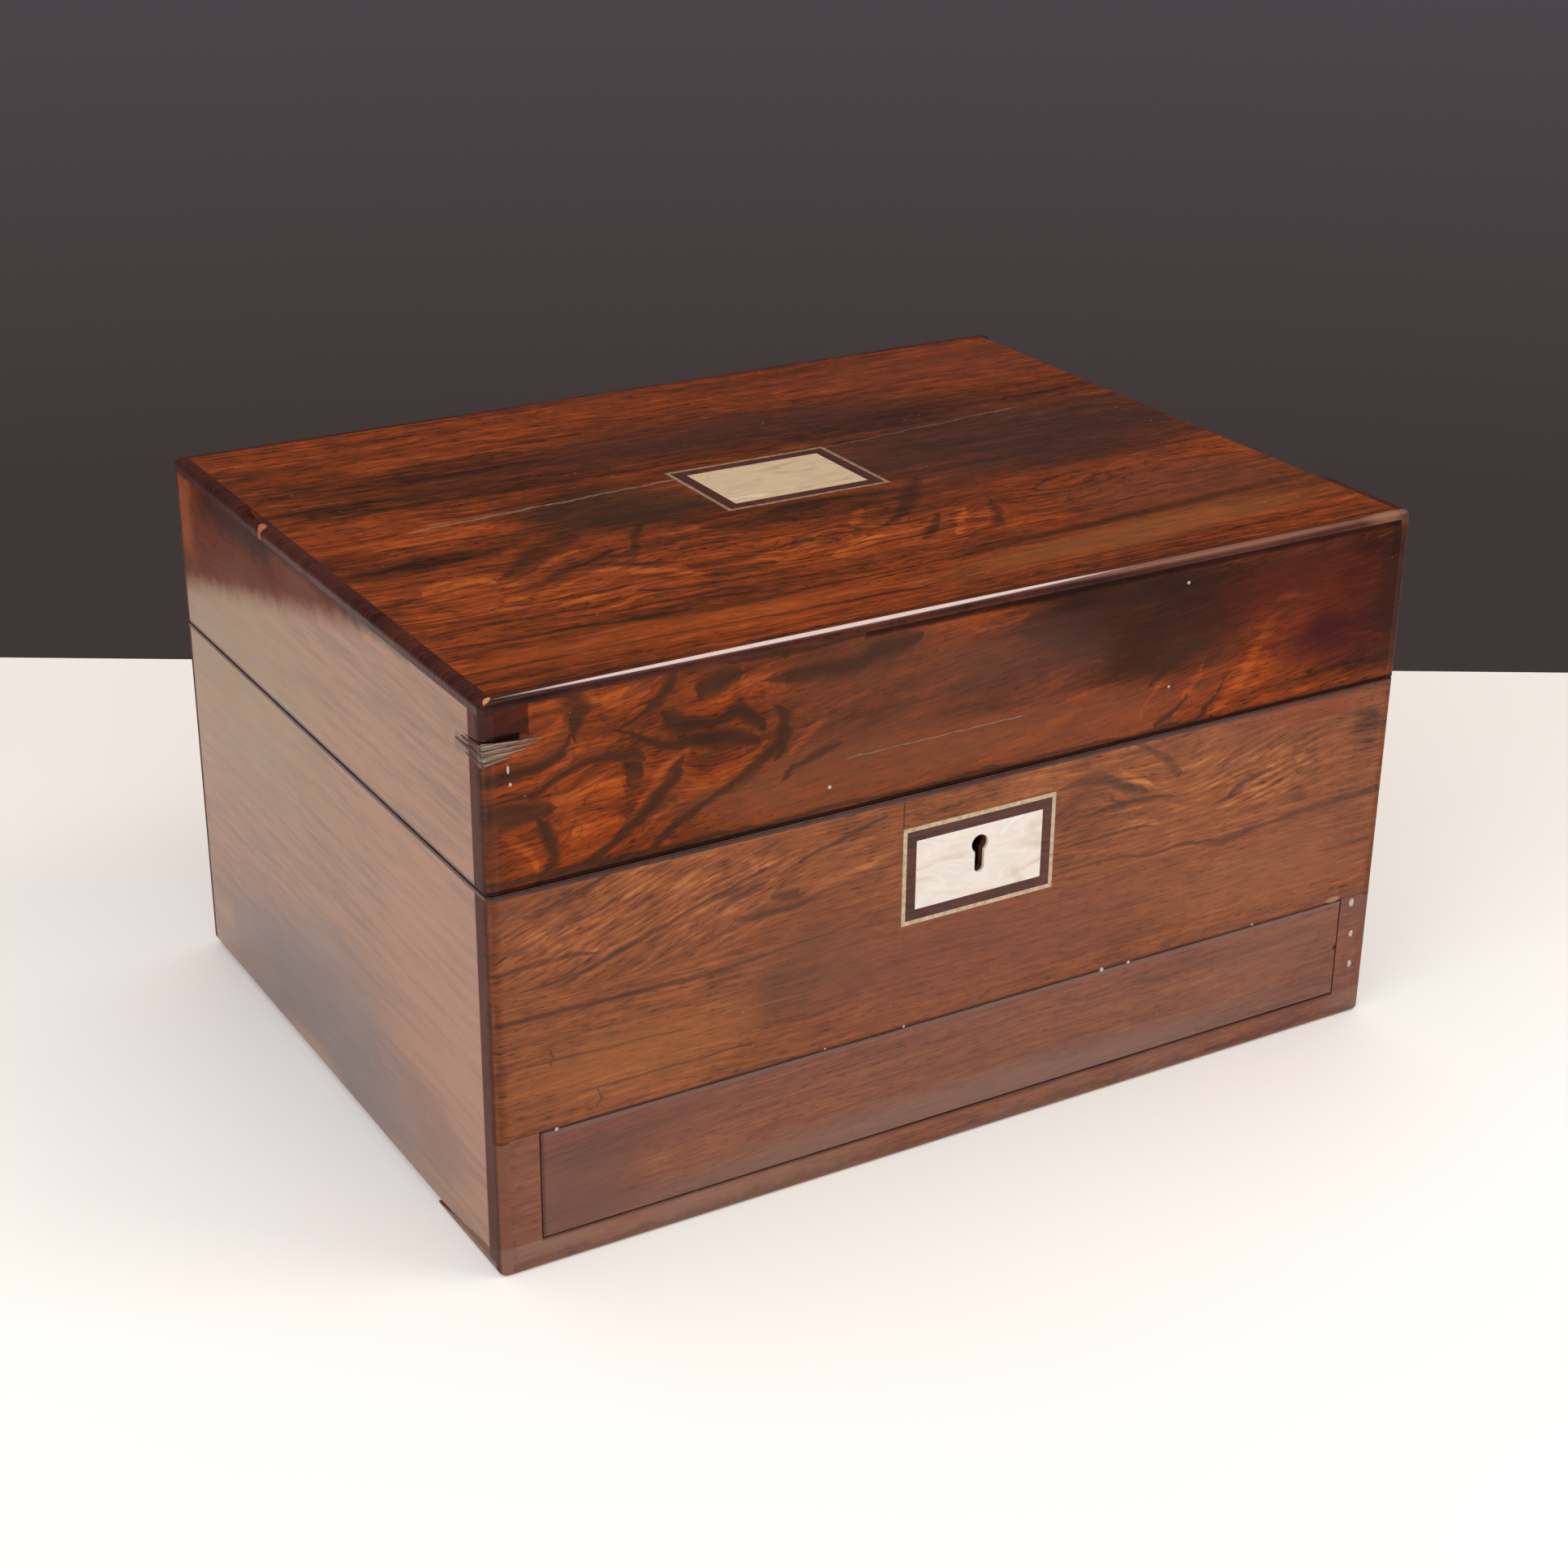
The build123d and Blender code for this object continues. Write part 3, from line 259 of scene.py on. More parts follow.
    edgeNoise = add("TexNoise", {"Vector": inMm, "Scale": 0.16, "Detail": 4.0, "Roughness": 0.6})
    edgeWander = add("Math SUBTRACT", edgeNoise, 0.5)

    # tone: 0 is black figure, 1 is the brightest orange
    tone = add("MapRange", stretched(add, warped, 80, 17, 7.7, 4.0, 0.55), 0.3, 0.7,
               look["tone"] - look["cloud"], look["tone"] + look["cloud"])
    tone = add("Math ADD", tone, add("MapRange", bands, 0.3, 0.7, -look["band"], look["band"]))
    blotch = stretched(add, warped, 9, 4, 2.2, 3.0, 0.6)
    tone = add("Math ADD", tone, add("MapRange", blotch, 0.3, 0.7, -look["blotch"], look["blotch"]))
    for *spot, change in look["patches"]:
        tone = add("Math ADD", tone, spotMask(warped, spot, change))
    lineDepth = add("MapRange", wild, 0, 1, -look["lineDark"], -look.get("lineWild", look["lineDark"]))
    tone = add("Math MULTIPLY_ADD", lines, lineDepth, tone)
    # the strongest marks of this board, at the listed places, with ragged feathered edges
    shaky = stretched(add, flat, 16, 7, 6.6, 3.0, 0.6).outputs["Color"]
    shaky = add("VectorMath SUBTRACT", shaky, (0.5, 0.5, 0.5))
    shaky = add("VectorMath MULTIPLY_ADD", shaky, (9.0, look["shake"], 0), flat)
    shakyAxes = add("SeparateXYZ", shaky)
    lying = drawn(shakyAxes.outputs["X"], shakyAxes.outputs["Y"], look["marks"])
    upright = drawn(shakyAxes.outputs["Y"], shakyAxes.outputs["X"], look["uprightMarks"])
    marks = feathered(add("Math MAXIMUM", lying, upright))
    glows = feathered(drawn(shakyAxes.outputs["X"], shakyAxes.outputs["Y"], look["glows"]))
    tone = add("Math MULTIPLY_ADD", glows, look["glow"], tone)
    tone = add("Math MULTIPLY_ADD", marks, -look["mark"], tone)
    fibreTone = add("MapRange", fibres, 0.3, 0.7, -look["fibre"], look["fibre"])
    fibreMore = add("Math MULTIPLY_ADD", slanted, look["slantMore"], 1.0)
    tone = add("Math MULTIPLY_ADD", fibreTone, fibreMore, tone)
    tone = add("Math MULTIPLY_ADD", poreHoles, -look["pore"], tone)

    colour = shadeRamp(add, tone, look["shades"])
    tintMask = add("MapRange", stretched(add, flat, 70, 40, 2.3, 2.0), 0.42, 0.68, 0, look["tintAmount"])
    colour = tinted(add, colour, tintMask, look["tint"])  # slow clouds, where sun and hands wore the polish
    if "sheenAndFade" in look:  # left side: a pale veil, part sun fading, part painted reflection of the table
        leftFace = add("Math LESS_THAN", axes.outputs["X"], 0.5 - shutBox["halfWidth"])
        behindStrip = add("Math GREATER_THAN", axes.outputs["Y"], look["stripEnd"])
        leftFace = add("Math MULTIPLY", leftFace, behindStrip)

        def above(line):  # 0 to 1 across a line that leans as it runs back, ragged by the wandering noise
            level = add("Math MULTIPLY_ADD", axes.outputs["Y"], line["lean"], axes.outputs["Z"])
            level = add("Math MULTIPLY_ADD", edgeWander, line["ragged"], level)
            return add("MapRange", level, line["low"], line["high"], 0, line["amount"],
                       interpolation_type=line["blend"])

        # the painted reflection stops along a leaning line, above which the wood shows dark
        sheenAndFadeMask = add("Math MULTIPLY", above(look["sheenAndFade"]), leftFace)
        kept = above(look["torn"])
        sheenAndFadeMask = add("Math MULTIPLY", sheenAndFadeMask, kept)
        sheltered = add("Math MULTIPLY", leftFace, 0.7)
        colour = tinted(add, colour, sheltered, look["shelteredShade"])
        lost = add("Math SUBTRACT", 1.0, kept)
        lost = add("Math MULTIPLY", lost, 0.75)
        colour = tinted(add, colour, lost, look["tornShade"])
        colour = tinted(add, colour, sheenAndFadeMask, look["sheenAndFadeShade"])
        streaks = add("MapRange", stretched(add, flat, 34, 2.4, 9.4, 5.0, 0.72), 0.44, 0.62, 0, 0.85)
        streaks = add("Math MULTIPLY", streaks, sheenAndFadeMask)
        colour = tinted(add, colour, streaks, look["streakShade"])
        stained = sheenAndFadeMask
    else:
        stained = 1.0
    for *spot, shade, amount in look["stains"]:
        mask = add("Math MULTIPLY", spotMask(warped, spot, amount), stained)
        colour = tinted(add, colour, mask, shade)
    colour = tinted(add, colour, network, look["figureShade"])
    inked = add("Math MULTIPLY", marks, look["markTint"])
    colour = tinted(add, colour, inked, look["figureShade"])

    # edges: how far the point is from the nearest outer edge of the shut box's two halves
    fromX = add("Math SUBTRACT", shutBox["halfWidth"], add("Math ABSOLUTE", axes.outputs["X"]))
    fromY = add("Math SUBTRACT", shutBox["halfDepth"], add("Math ABSOLUTE", axes.outputs["Y"]))
    fromTop = add("Math SUBTRACT", shutBox["top"], axes.outputs["Z"])
    fromZ = add("Math MINIMUM", axes.outputs["Z"], fromTop)
    lower = add("Math MINIMUM", fromX, fromY)
    upper = add("Math MAXIMUM", fromX, fromY)
    fromEdge = add("Math MAXIMUM", lower, add("Math MINIMUM", upper, fromZ))
    edgeReach = add("Math MULTIPLY_ADD", edgeNoise, -look["wearReach"], fromEdge)
    worn = add("MapRange SMOOTHSTEP", edgeReach, -1.4, -2.6, 0, look["wear"])
    grime = add("MapRange SMOOTHSTEP", edgeReach, 1.5, -1.5, 0, look["grime"])
    colour = tinted(add, colour, grime, "#1d0e09")
    colour = tinted(add, colour, worn, look["wornShade"])

    # joints, grimy lines and let-in bits, each a soft-edged rectangle
    height = add("Math MULTIPLY", fibres, 0.35)
    height = add("Math MULTIPLY_ADD", poreHoles, -0.5, height)
    height = add("Math MULTIPLY_ADD", stretched(add, flat, 26, 15, 1.0, 2.0), look["ripple"], height)
    for u0, u1, v0, v1, shade, amount, soft, ragged, raised in look["bits"]:
        offU = add("Math ABSOLUTE", add("Math SUBTRACT", along, (u0 + u1) / 2))
        offV = add("Math ABSOLUTE", add("Math SUBTRACT", over, (v0 + v1) / 2))
        inU = add("Math SUBTRACT", abs(u1 - u0) / 2, offU)
        inV = add("Math SUBTRACT", abs(v1 - v0) / 2, offV)
        inside = add("Math MINIMUM", inU, inV)
        inside = add("Math MULTIPLY_ADD", edgeWander, ragged, inside)
        mask = add("MapRange SMOOTHSTEP", inside, -soft, soft)
        shown = add("Math MULTIPLY", mask, amount)
        colour = tinted(add, colour, shown, shade)
        height = add("Math MULTIPLY_ADD", mask, raised, height)

    # shrinkage cracks, each a wandering line from one point to another
    for crack in look["cracks"]:
        start, end = Vector(crack["start"]), Vector(crack["end"])
        run = (end - start).length
        local = add("Mapping",
                    {"Vector": flat, "Location": (start.x, start.y, seed),
                     "Rotation": (0, 0, math.atan2(end.y - start.y, end.x - start.x))},
                    vector_type="TEXTURE")
        localAxes = add("SeparateXYZ", local)
        aside = add("Math MULTIPLY_ADD", edgeWander, crack.get("shake", 3.0), localAxes.outputs["Y"])
        thin = add("MapRange SMOOTHSTEP", add("Math ABSOLUTE", aside), crack["width"], crack["width"] * 0.4)
        ends = add("Math MULTIPLY", add("MapRange", localAxes.outputs["X"], 0.0, 2.0),
                   add("MapRange", localAxes.outputs["X"], run, run - 2.0))
        mask = add("Math MULTIPLY", thin, ends)
        mask = add("Math MULTIPLY", mask, add("MapRange", pores, 0.35, 0.5, crack.get("gaps", 0.3), 1.0))
        shown = add("Math MULTIPLY", mask, crack["strength"])
        colour = tinted(add, colour, shown, crack["shade"])
        height = add("Math MULTIPLY_ADD", mask, -2.0, height)
    for dot in look["dots"]:  # nail holes, small losses and a painted highlight
        spot = (*dot["at"], *dot["size"], dot.get("turn", 0))
        mask = spotMask(flat, spot, dot.get("amount", 1.0), dot.get("core", 0.6))
        colour = tinted(add, colour, mask, dot["shade"])
        height = add("Math MULTIPLY_ADD", mask, dot.get("rise", -4.0), height)

    # dust specks under half a millimetre
    speck = add("TexVoronoi", {"Vector": inMm, "Scale": 1 / look["speckSpacing"]})
    picked = add("Math GREATER_THAN", add("SeparateColor", speck.outputs["Color"]), 0.72)
    speckDot = add("MapRange", speck.outputs["Distance"], 0.055, 0.02, 0, look["speck"])
    colour = tinted(add, colour, add("Math MULTIPLY", speckDot, picked), "#b59a83")

    gloss = add("MapRange", stretched(add, flat, 35, 22, 5.5, 5.0, 0.65), 0.3, 0.7, look["rough"] - 0.06,
                look["rough"] + 0.09)
    gloss = add("Math MULTIPLY_ADD", grime, 0.25, gloss)
    polish = look["coat"]
    if "sheenAndFade" in look:
        polish = add("MapRange", sheenAndFadeMask, 0, look["sheenAndFade"]["amount"], 0.04, polish)
    feed(shader,
         {"Base Color": colour, "Roughness": gloss, "Normal": bumped(add, height, 0.5, 0.12), "IOR": 1.5,
          "Specular IOR Level": look["shine"], "Coat Weight": polish, "Coat Roughness": look["coatRough"],
          "Coat IOR": 1.5})
    return material


# Lid top: black cloud behind the plate, flame figure in front of it, golden wood at the front
lidTopLook = {
    "grain": "top", "seed": 11.0, "drift": 12.0, "curl": 26.0, "curlLength": 38.0, "curlHeight": 15.0,
    "bandLength": 110.0, "bandHeight": 4.0, "lineSpacing": 4.6, "lineMix": 2.4, "lineEdge": 0.3,
    "tone": 0.56, "cloud": 0.12, "band": 0.13, "lineDark": 0.1, "lineWild": 0.3, "fibre": 0.2, "pore": 0.3,
    "blotch": 0.1, "figure": 0.5, "figureLean": 6, "figureLength": 34, "figureHeight": 8,
    "figureWidth": 0.035, "figureShade": "#35200f", "mark": 0.2, "markTint": 0.26, "glow": 0.22,
    "shake": 5.5, "feather": 2.2, "shades": ["#1c0c02", "#3d1d08", "#672c06", "#943d0a", "#bd6018"],
    "tint": "#6b3019", "tintAmount": 0.25, "rough": 0.36, "coat": 0.05, "shine": 0.15,
    "wild": [(-95, -46, 75, 34, 0, 1.0), (0, -48, 70, 34, 0, 1.0), (85, -48, 85, 24, 0, 0.6),
             (-100, 12, 60, 24, 0, 0.5)],
    "patches": [
        (-95, 90, 75, 30, 0, 0.06), (100, 84, 80, 32, 0, 0.04), (-125, 60, 40, 20, 0, -0.12),
        (-76, 57, 50, 17, 0, -0.17), (-95, 38, 75, 13, -2, -0.26), (15, 48, 100, 30, -3, -0.24),
        (95, 2, 110, 38, -2, -0.3), (110, 45, 70, 16, 0, -0.12), (-56, 0, 44, 26, -25, -0.3),
        (-100, 22, 60, 9, 3, 0.12), (-115, 6, 42, 10, 0, 0.16), (-128, -13, 40, 9, 0, -0.28),
        (15, -28, 60, 8, 0, -0.16), (-110, -48, 50, 24, 10, 0.14), (-20, -54, 80, 24, -6, 0.14),
        (90, -50, 80, 18, 0, 0.05), (40, -92, 190, 12, 2, 0.1), (-95, -92, 90, 12, 0, 0.1),
        (-140, 0, 20, 12, 0, -0.15), (-15, -21, 50, 8, 0, -0.14), (-70, -66, 60, 12, 0, 0.16),
        (20, -48, 40, 12, 0, 0.1), (-120, -34, 36, 9, 0, 0.12)],
    "stains": [(90, 5, 120, 48, 0, "#4c2f27", 0.5), (20, 55, 100, 26, 0, "#4a2a22", 0.45),
               (-50, 2, 44, 26, 0, "#3f2e1c", 0.45), (105, 85, 80, 30, 0, "#6e3524", 0.3),
               (110, -60, 70, 30, 0, "#74402b", 0.4), (70, -90, 100, 13, 3, "#90552a", 0.5),
               (-80, -90, 90, 10, 0, "#8e4415", 0.35)],
    "marks": [
        [(-148, -76, 0), (-125, -78, 1.0), (-105, -79, 1.1), (-92, -81, 1.6), (-75, -83.5, 2.0),
         (-60, -84, 1.6), (-38, -83.5, 1.4), (-10, -83, 0.8), (20, -81, 1.0), (45, -79, 1.8),
         (75, -76.5, 2.5), (105, -74, 2.5), (154, -71, 1.8)],
        [(-152, -95.5, 0.5), (-90, -95, 0.7), (-40, -97, 0.9), (10, -97, 0)],
        [(-116, -48, 0), (-103, -45, 1.6), (-94, -40, 1.8), (-87, -36, 2.4), (-76, -30, 0)],
        [(-112, -36, 0), (-102, -29, 3.5), (-90, -20, 6.0), (-76, -12, 0)],
        [(-86, -36, 0), (-78, -40, 2.0), (-70, -44, 1.6), (-56, -49, 0)],
        [(-78, -31, 0), (-70, -35, 2.0), (-62, -24, 3.0), (-54, -14, 0)],
        [(-56, -38, 0), (-48, -38, 1.7), (-40, -38, 0)], [(-42, -26, 0), (-20, -25, 2.5), (4, -24, 0)],
        [(-148, -40, 0.6), (-142, -40, 1.4), (-134, -39, 0)],
        [(-108, -57, 0), (-92, -58, 0.9), (-82, -57, 0)],
        [(-138, -59, 0), (-125, -61.5, 0.9), (-112, -60, 0)],
        [(-80, -62, 0), (-70, -66, 1.1), (-55, -67, 0.9), (-38, -68, 0)],
        [(-62, -49, 0), (-48, -53, 3.2), (-34, -50, 1.6), (-15, -49, 1.0), (4, -49, 0)],
        [(-62, -60, 0), (-48, -61, 2.0), (-36, -60, 0)], [(-106, -64, 0), (-97, -64.5, 0.6), (-86, -64, 0)],
        [(-106, -71, 0), (-85, -73, 0.7), (-50, -73.5, 0)],
        [(-2, -52, 0), (12, -46, 1.8), (20, -39, 3.0), (29, -29, 4.4), (40, -16, 0)],
        [(8, -65, 0), (18, -58, 2.2), (27, -48, 0)],
        [(12, -69.5, 0), (28, -67, 1.2), (37, -63, 2.6), (42, -56, 3.4), (47, -44, 0)],
        [(52, -56, 0), (68, -57, 0.7), (84, -51, 0)], [(48, -63, 0), (66, -64, 0.8), (90, -62, 0)],
        [(66, -40, 0), (78, -36, 0.9), (90, -34, 0)], [(114, -43, 0), (130, -42, 0.9), (146, -45, 0)],
        [(108, -52, 0), (128, -53, 0.8), (150, -51, 0)], [(90, -101, 0), (115, -100, 0.8), (140, -99, 0)],
        [(-100, 66, 0), (-80, 68, 2.0), (-55, 66, 0)], [(-100, 56, 0), (-80, 55, 1.6), (-50, 56, 0)],
        [(-130, 1, 0), (-115, 0, 1.0), (-98, -1, 0)]],
    "glows": [
        [(-112, -43, 0), (-100, -36, 1.8), (-88, -28, 1.8), (-80, -24, 0)],
        [(-100, -50, 0), (-85, -45, 2.0), (-70, -50, 2.6), (-58, -62, 0)],
        [(-134, -38, 0), (-124, -33, 3.0), (-112, -37, 0)], [(-20, -64, 0), (-10, -60, 3.2), (2, -56, 0)],
        [(20, -66, 0), (29, -58, 2.6), (36, -46, 0)], [(-2, -44, 0), (4, -38, 2.6), (10, -33, 0)]],
    "bits": [(-153, 153, -110.2, -109.3, "#2a0f07", 0.6, 0.4, 0.4, 0),
             (-150.6, -149.9, -113, 113, "#7d5b49", 0.5, 0.4, 1.2, 0)],
    "cracks": [
        {"start": (-118, 12), "end": (-26, 18.2), "width": 0.85, "shade": "#9c8273", "strength": 0.5,
         "shake": 3.0},
        {"start": (-110, 15), "end": (-60, 15.8), "width": 0.4, "shade": "#94796a", "strength": 0.4,
         "shake": 3.0},
        {"start": (29, 23), "end": (110, 31), "width": 0.5, "shade": "#8a7162", "strength": 0.45,
         "shake": 4.0}],
}
dress(rosewood("rosewoodLidTop", lidTopLook), "lid_top_veneer")

# Lid front: orange figure with green-black curls at the left, near black past the middle, then purple-red
lidFrontLook = {
    "grain": "front", "seed": 31.0, "drift": 8.0, "curl": 20.0, "curlLength": 34.0, "curlHeight": 20.0,
    "bandLength": 60.0, "bandHeight": 5.0, "lineSpacing": 5.0, "lineMix": 1.8, "lineEdge": 0.4, "tone": 0.6,
    "cloud": 0.1, "band": 0.1, "lineDark": 0.08, "lineWild": 0.14, "fibre": 0.16, "pore": 0.28,
    "blotch": 0.1, "slope": 7.0, "figure": 0.35, "figureLean": 34, "figureLength": 26, "figureHeight": 10,
    "figureWidth": 0.05, "figureShade": "#402a1f", "mark": 0.22, "markTint": 0.66, "glow": 0.2,
    "shake": 4.4, "shades": ["#150907", "#381a0e", "#672f15", "#944018", "#b95c24"], "tint": "#71422e",
    "tintAmount": 0.35, "rough": 0.36, "coat": 0.0, "shine": 0.04, "feather": 2.3,
    "wild": [(-112, 145, 66, 40, 0, 1.0), (-35, 150, 50, 26, 0, 0.4), (105, 140, 46, 26, 0, 0.5)],
    "patches": [
        (50, 155, 62, 27, -10, -0.42), (115, 160, 60, 14, 0, -0.34), (-45, 161, 26, 8, 0, -0.2),
        (-38, 143, 22, 10, 20, -0.16), (-20, 150, 60, 20, 0, -0.06), (0, 143, 24, 10, 0, -0.12),
        (50, 138, 16, 6, 0, -0.2), (100, 138, 26, 16, 38, 0.16), (124, 137, 13, 8, -30, -0.26),
        (143, 150, 22, 20, 0, -0.2), (144, 132, 20, 22, 0, -0.22), (4, 164, 34, 5, 0, 0.2),
        (-132, 124, 26, 8, 0, 0.12)],
    "stains": [(112, 150, 50, 22, 0, "#55160f", 0.55), (128, 134, 28, 13, -10, "#451419", 0.7),
               (150, 145, 13, 34, 0, "#321511", 0.6), (52, 156, 52, 20, -8, "#33201a", 0.5),
               # the greyer stains low and in the middle stand partly for a painted reflection veil
               (-45, 128, 80, 18, 0, "#845239", 0.5), (25, 126, 70, 14, 0, "#875039", 0.5),
               (-32, 152, 52, 26, 0, "#6f4737", 0.45), (14, 147, 38, 20, 0, "#65443a", 0.45)],
    "marks": [
        [(-153, 148, 1.2), (-138, 149.5, 1.5), (-131, 152, 1.3), (-126.5, 157, 0.8), (-125, 160, 0)],
        [(-153, 141.5, 0.5), (-140, 142, 0.7), (-130, 146, 0.9), (-121, 148, 0.8), (-112, 147.5, 1.4),
         (-106, 144.5, 0)],
        [(-113, 139.5, 0), (-110, 142, 3.4), (-106.5, 143, 0)],
        [(-116, 156, 0), (-111, 153, 0.7), (-107, 150.5, 0.9), (-102, 148, 1.2), (-92, 147, 1.8),
         (-82, 146, 2.2), (-73, 143, 0)],
        [(-103, 157, 0), (-98, 153.5, 2.6), (-92, 152, 2.4), (-85, 151.5, 1.0), (-80, 153, 1.8),
         (-75, 150, 2.6), (-71, 146, 0)],
        [(-127, 118, 0.6), (-117, 123, 1.6), (-110, 128, 2.0), (-104, 133, 2.8), (-99, 138, 2.2),
         (-94, 144, 0)],
        [(-106, 119, 0.8), (-98, 124, 1.0), (-90, 128, 1.0), (-80, 132, 1.4), (-72, 137, 2.0),
         (-67, 141, 1.6), (-64, 145, 0)],
        [(-114, 155, 0), (-106, 159, 1.2), (-100, 163, 2.0), (-95, 169, 1.6)],
        [(-91, 160, 0), (-85, 162.5, 3.2), (-77, 163, 0)],
        [(-152, 138, 2.0), (-143, 137.5, 2.6), (-132, 137, 0)],
        [(-66, 130, 0), (-57, 134.5, 1.0), (-46, 137, 0)],
        [(-84, 168, 0.4), (-66, 166.4, 0.8), (-40, 167, 0.4)],
        [(-74, 160, 0), (-58, 160, 1.8), (-46, 159, 2.4), (-34, 162, 3.0), (-22, 163, 0)],
        [(60, 118, 0.6), (66, 122, 1.4), (71, 127, 0)], [(76, 118, 0.8), (81, 123, 1.6), (84, 130, 0)],
        [(56, 132, 0), (62, 136, 1.6), (68, 140, 2.0), (76, 143, 0)]],
    "uprightMarks": [
        [(153, -126.5, 0), (159, -126, 1.8), (165, -126, 3.2), (169, -126, 3.2)],
        [(117, -137, 1.2), (124, -134.5, 1.8), (130, -135, 1.8), (136, -138, 0)],
        [(136, -67, 0), (142, -65.5, 2.2), (147, -65, 2.2), (152, -67, 0)]],
    "glows": [
        [(-152, 144.8, 1.2), (-140, 145.5, 1.4), (-132, 148.5, 1.2), (-122, 151.5, 1.8), (-110, 150, 0)],
        [(-148, 154, 1.5), (-138, 156, 2.2), (-130, 161, 2.4), (-129, 165, 0)],
        [(-134, 137, 0), (-124, 139, 4.5), (-114, 138, 0)],
        [(-128, 128, 0), (-121, 130.5, 3.0), (-113, 130, 0)],
        [(-148, 133, 0), (-143, 129, 2.4), (-139, 122, 2.0), (-137.5, 118, 0)],
        [(-112, 131, 0), (-104, 138, 1.8), (-97, 143, 1.6), (-92, 145, 0)],
        [(-110, 122, 0), (-100, 129, 1.8), (-90, 135, 3.0), (-78, 138, 2.0), (-70, 143, 0)],
        [(-98, 158, 0), (-88, 157, 2.2), (-76, 160, 2.4), (-64, 157, 0)],
        [(-120, 166, 2.5), (-112, 163, 3.4), (-104, 166, 0)],
        [(-64, 137, 0), (-57, 142, 1.4), (-50, 146, 0)],
        [(82, 119, 0), (87, 124, 3.6), (94, 133, 4.0), (100, 141, 2.6), (108, 147, 0)],
        [(103, 150, 0), (106, 152, 1.6), (112, 149, 0)],
        [(67, 119, 0), (70, 127, 1.8), (76, 134, 1.2), (78, 138, 0)],
        [(54, 119, 0), (56, 127, 1.2), (62, 133, 0)], [(20, 142, 0), (30, 144, 1.2), (40, 143, 0)],
        [(26, 134, 0), (36, 135, 1.4), (48, 133, 0)], [(-2, 121, 0), (14, 124, 2.6), (34, 130, 0)],
        [(130, 134, 0), (138, 133, 1.2), (146, 130, 0)], [(-6, 162, 0), (4, 161, 1.4), (14, 163, 0)]],
    "bits": [
        (-154, -139.6, 159.4, 168, "#341a19", 0.85, 0.35, 0.4, 0),
        (-151.0, -142.0, 158.3, 160.0, "#080403", 0.95, 0.4, 2.0, -2.0),
        (-139.7, -139.3, 159, 168, "#140907", 0.7, 0.2, 0.4, 0),
        (145.8, 149, 157, 168, "#2a1411", 0.6, 0.35, 0.4, 0),
        # dark parting line: painted shade and grime in the gap between lid and base
        (-153, 153, 116.2, 117.5, "#0d0706", 0.9, 0.25, 0.4, 0),
        # painted shadow under the front bead
        (-40, 153, 165.8, 168, "#210b08", 0.8, 0.6, 0.4, 0)],
    "cracks": [
        {"start": (-46, 131.9), "end": (14, 132.4), "width": 0.3, "shade": "#a3816c", "strength": 0.6,
         "shake": 1.2}],
}
dress(rosewood("rosewoodLidFront", lidFrontLook), "lid_front_veneer")
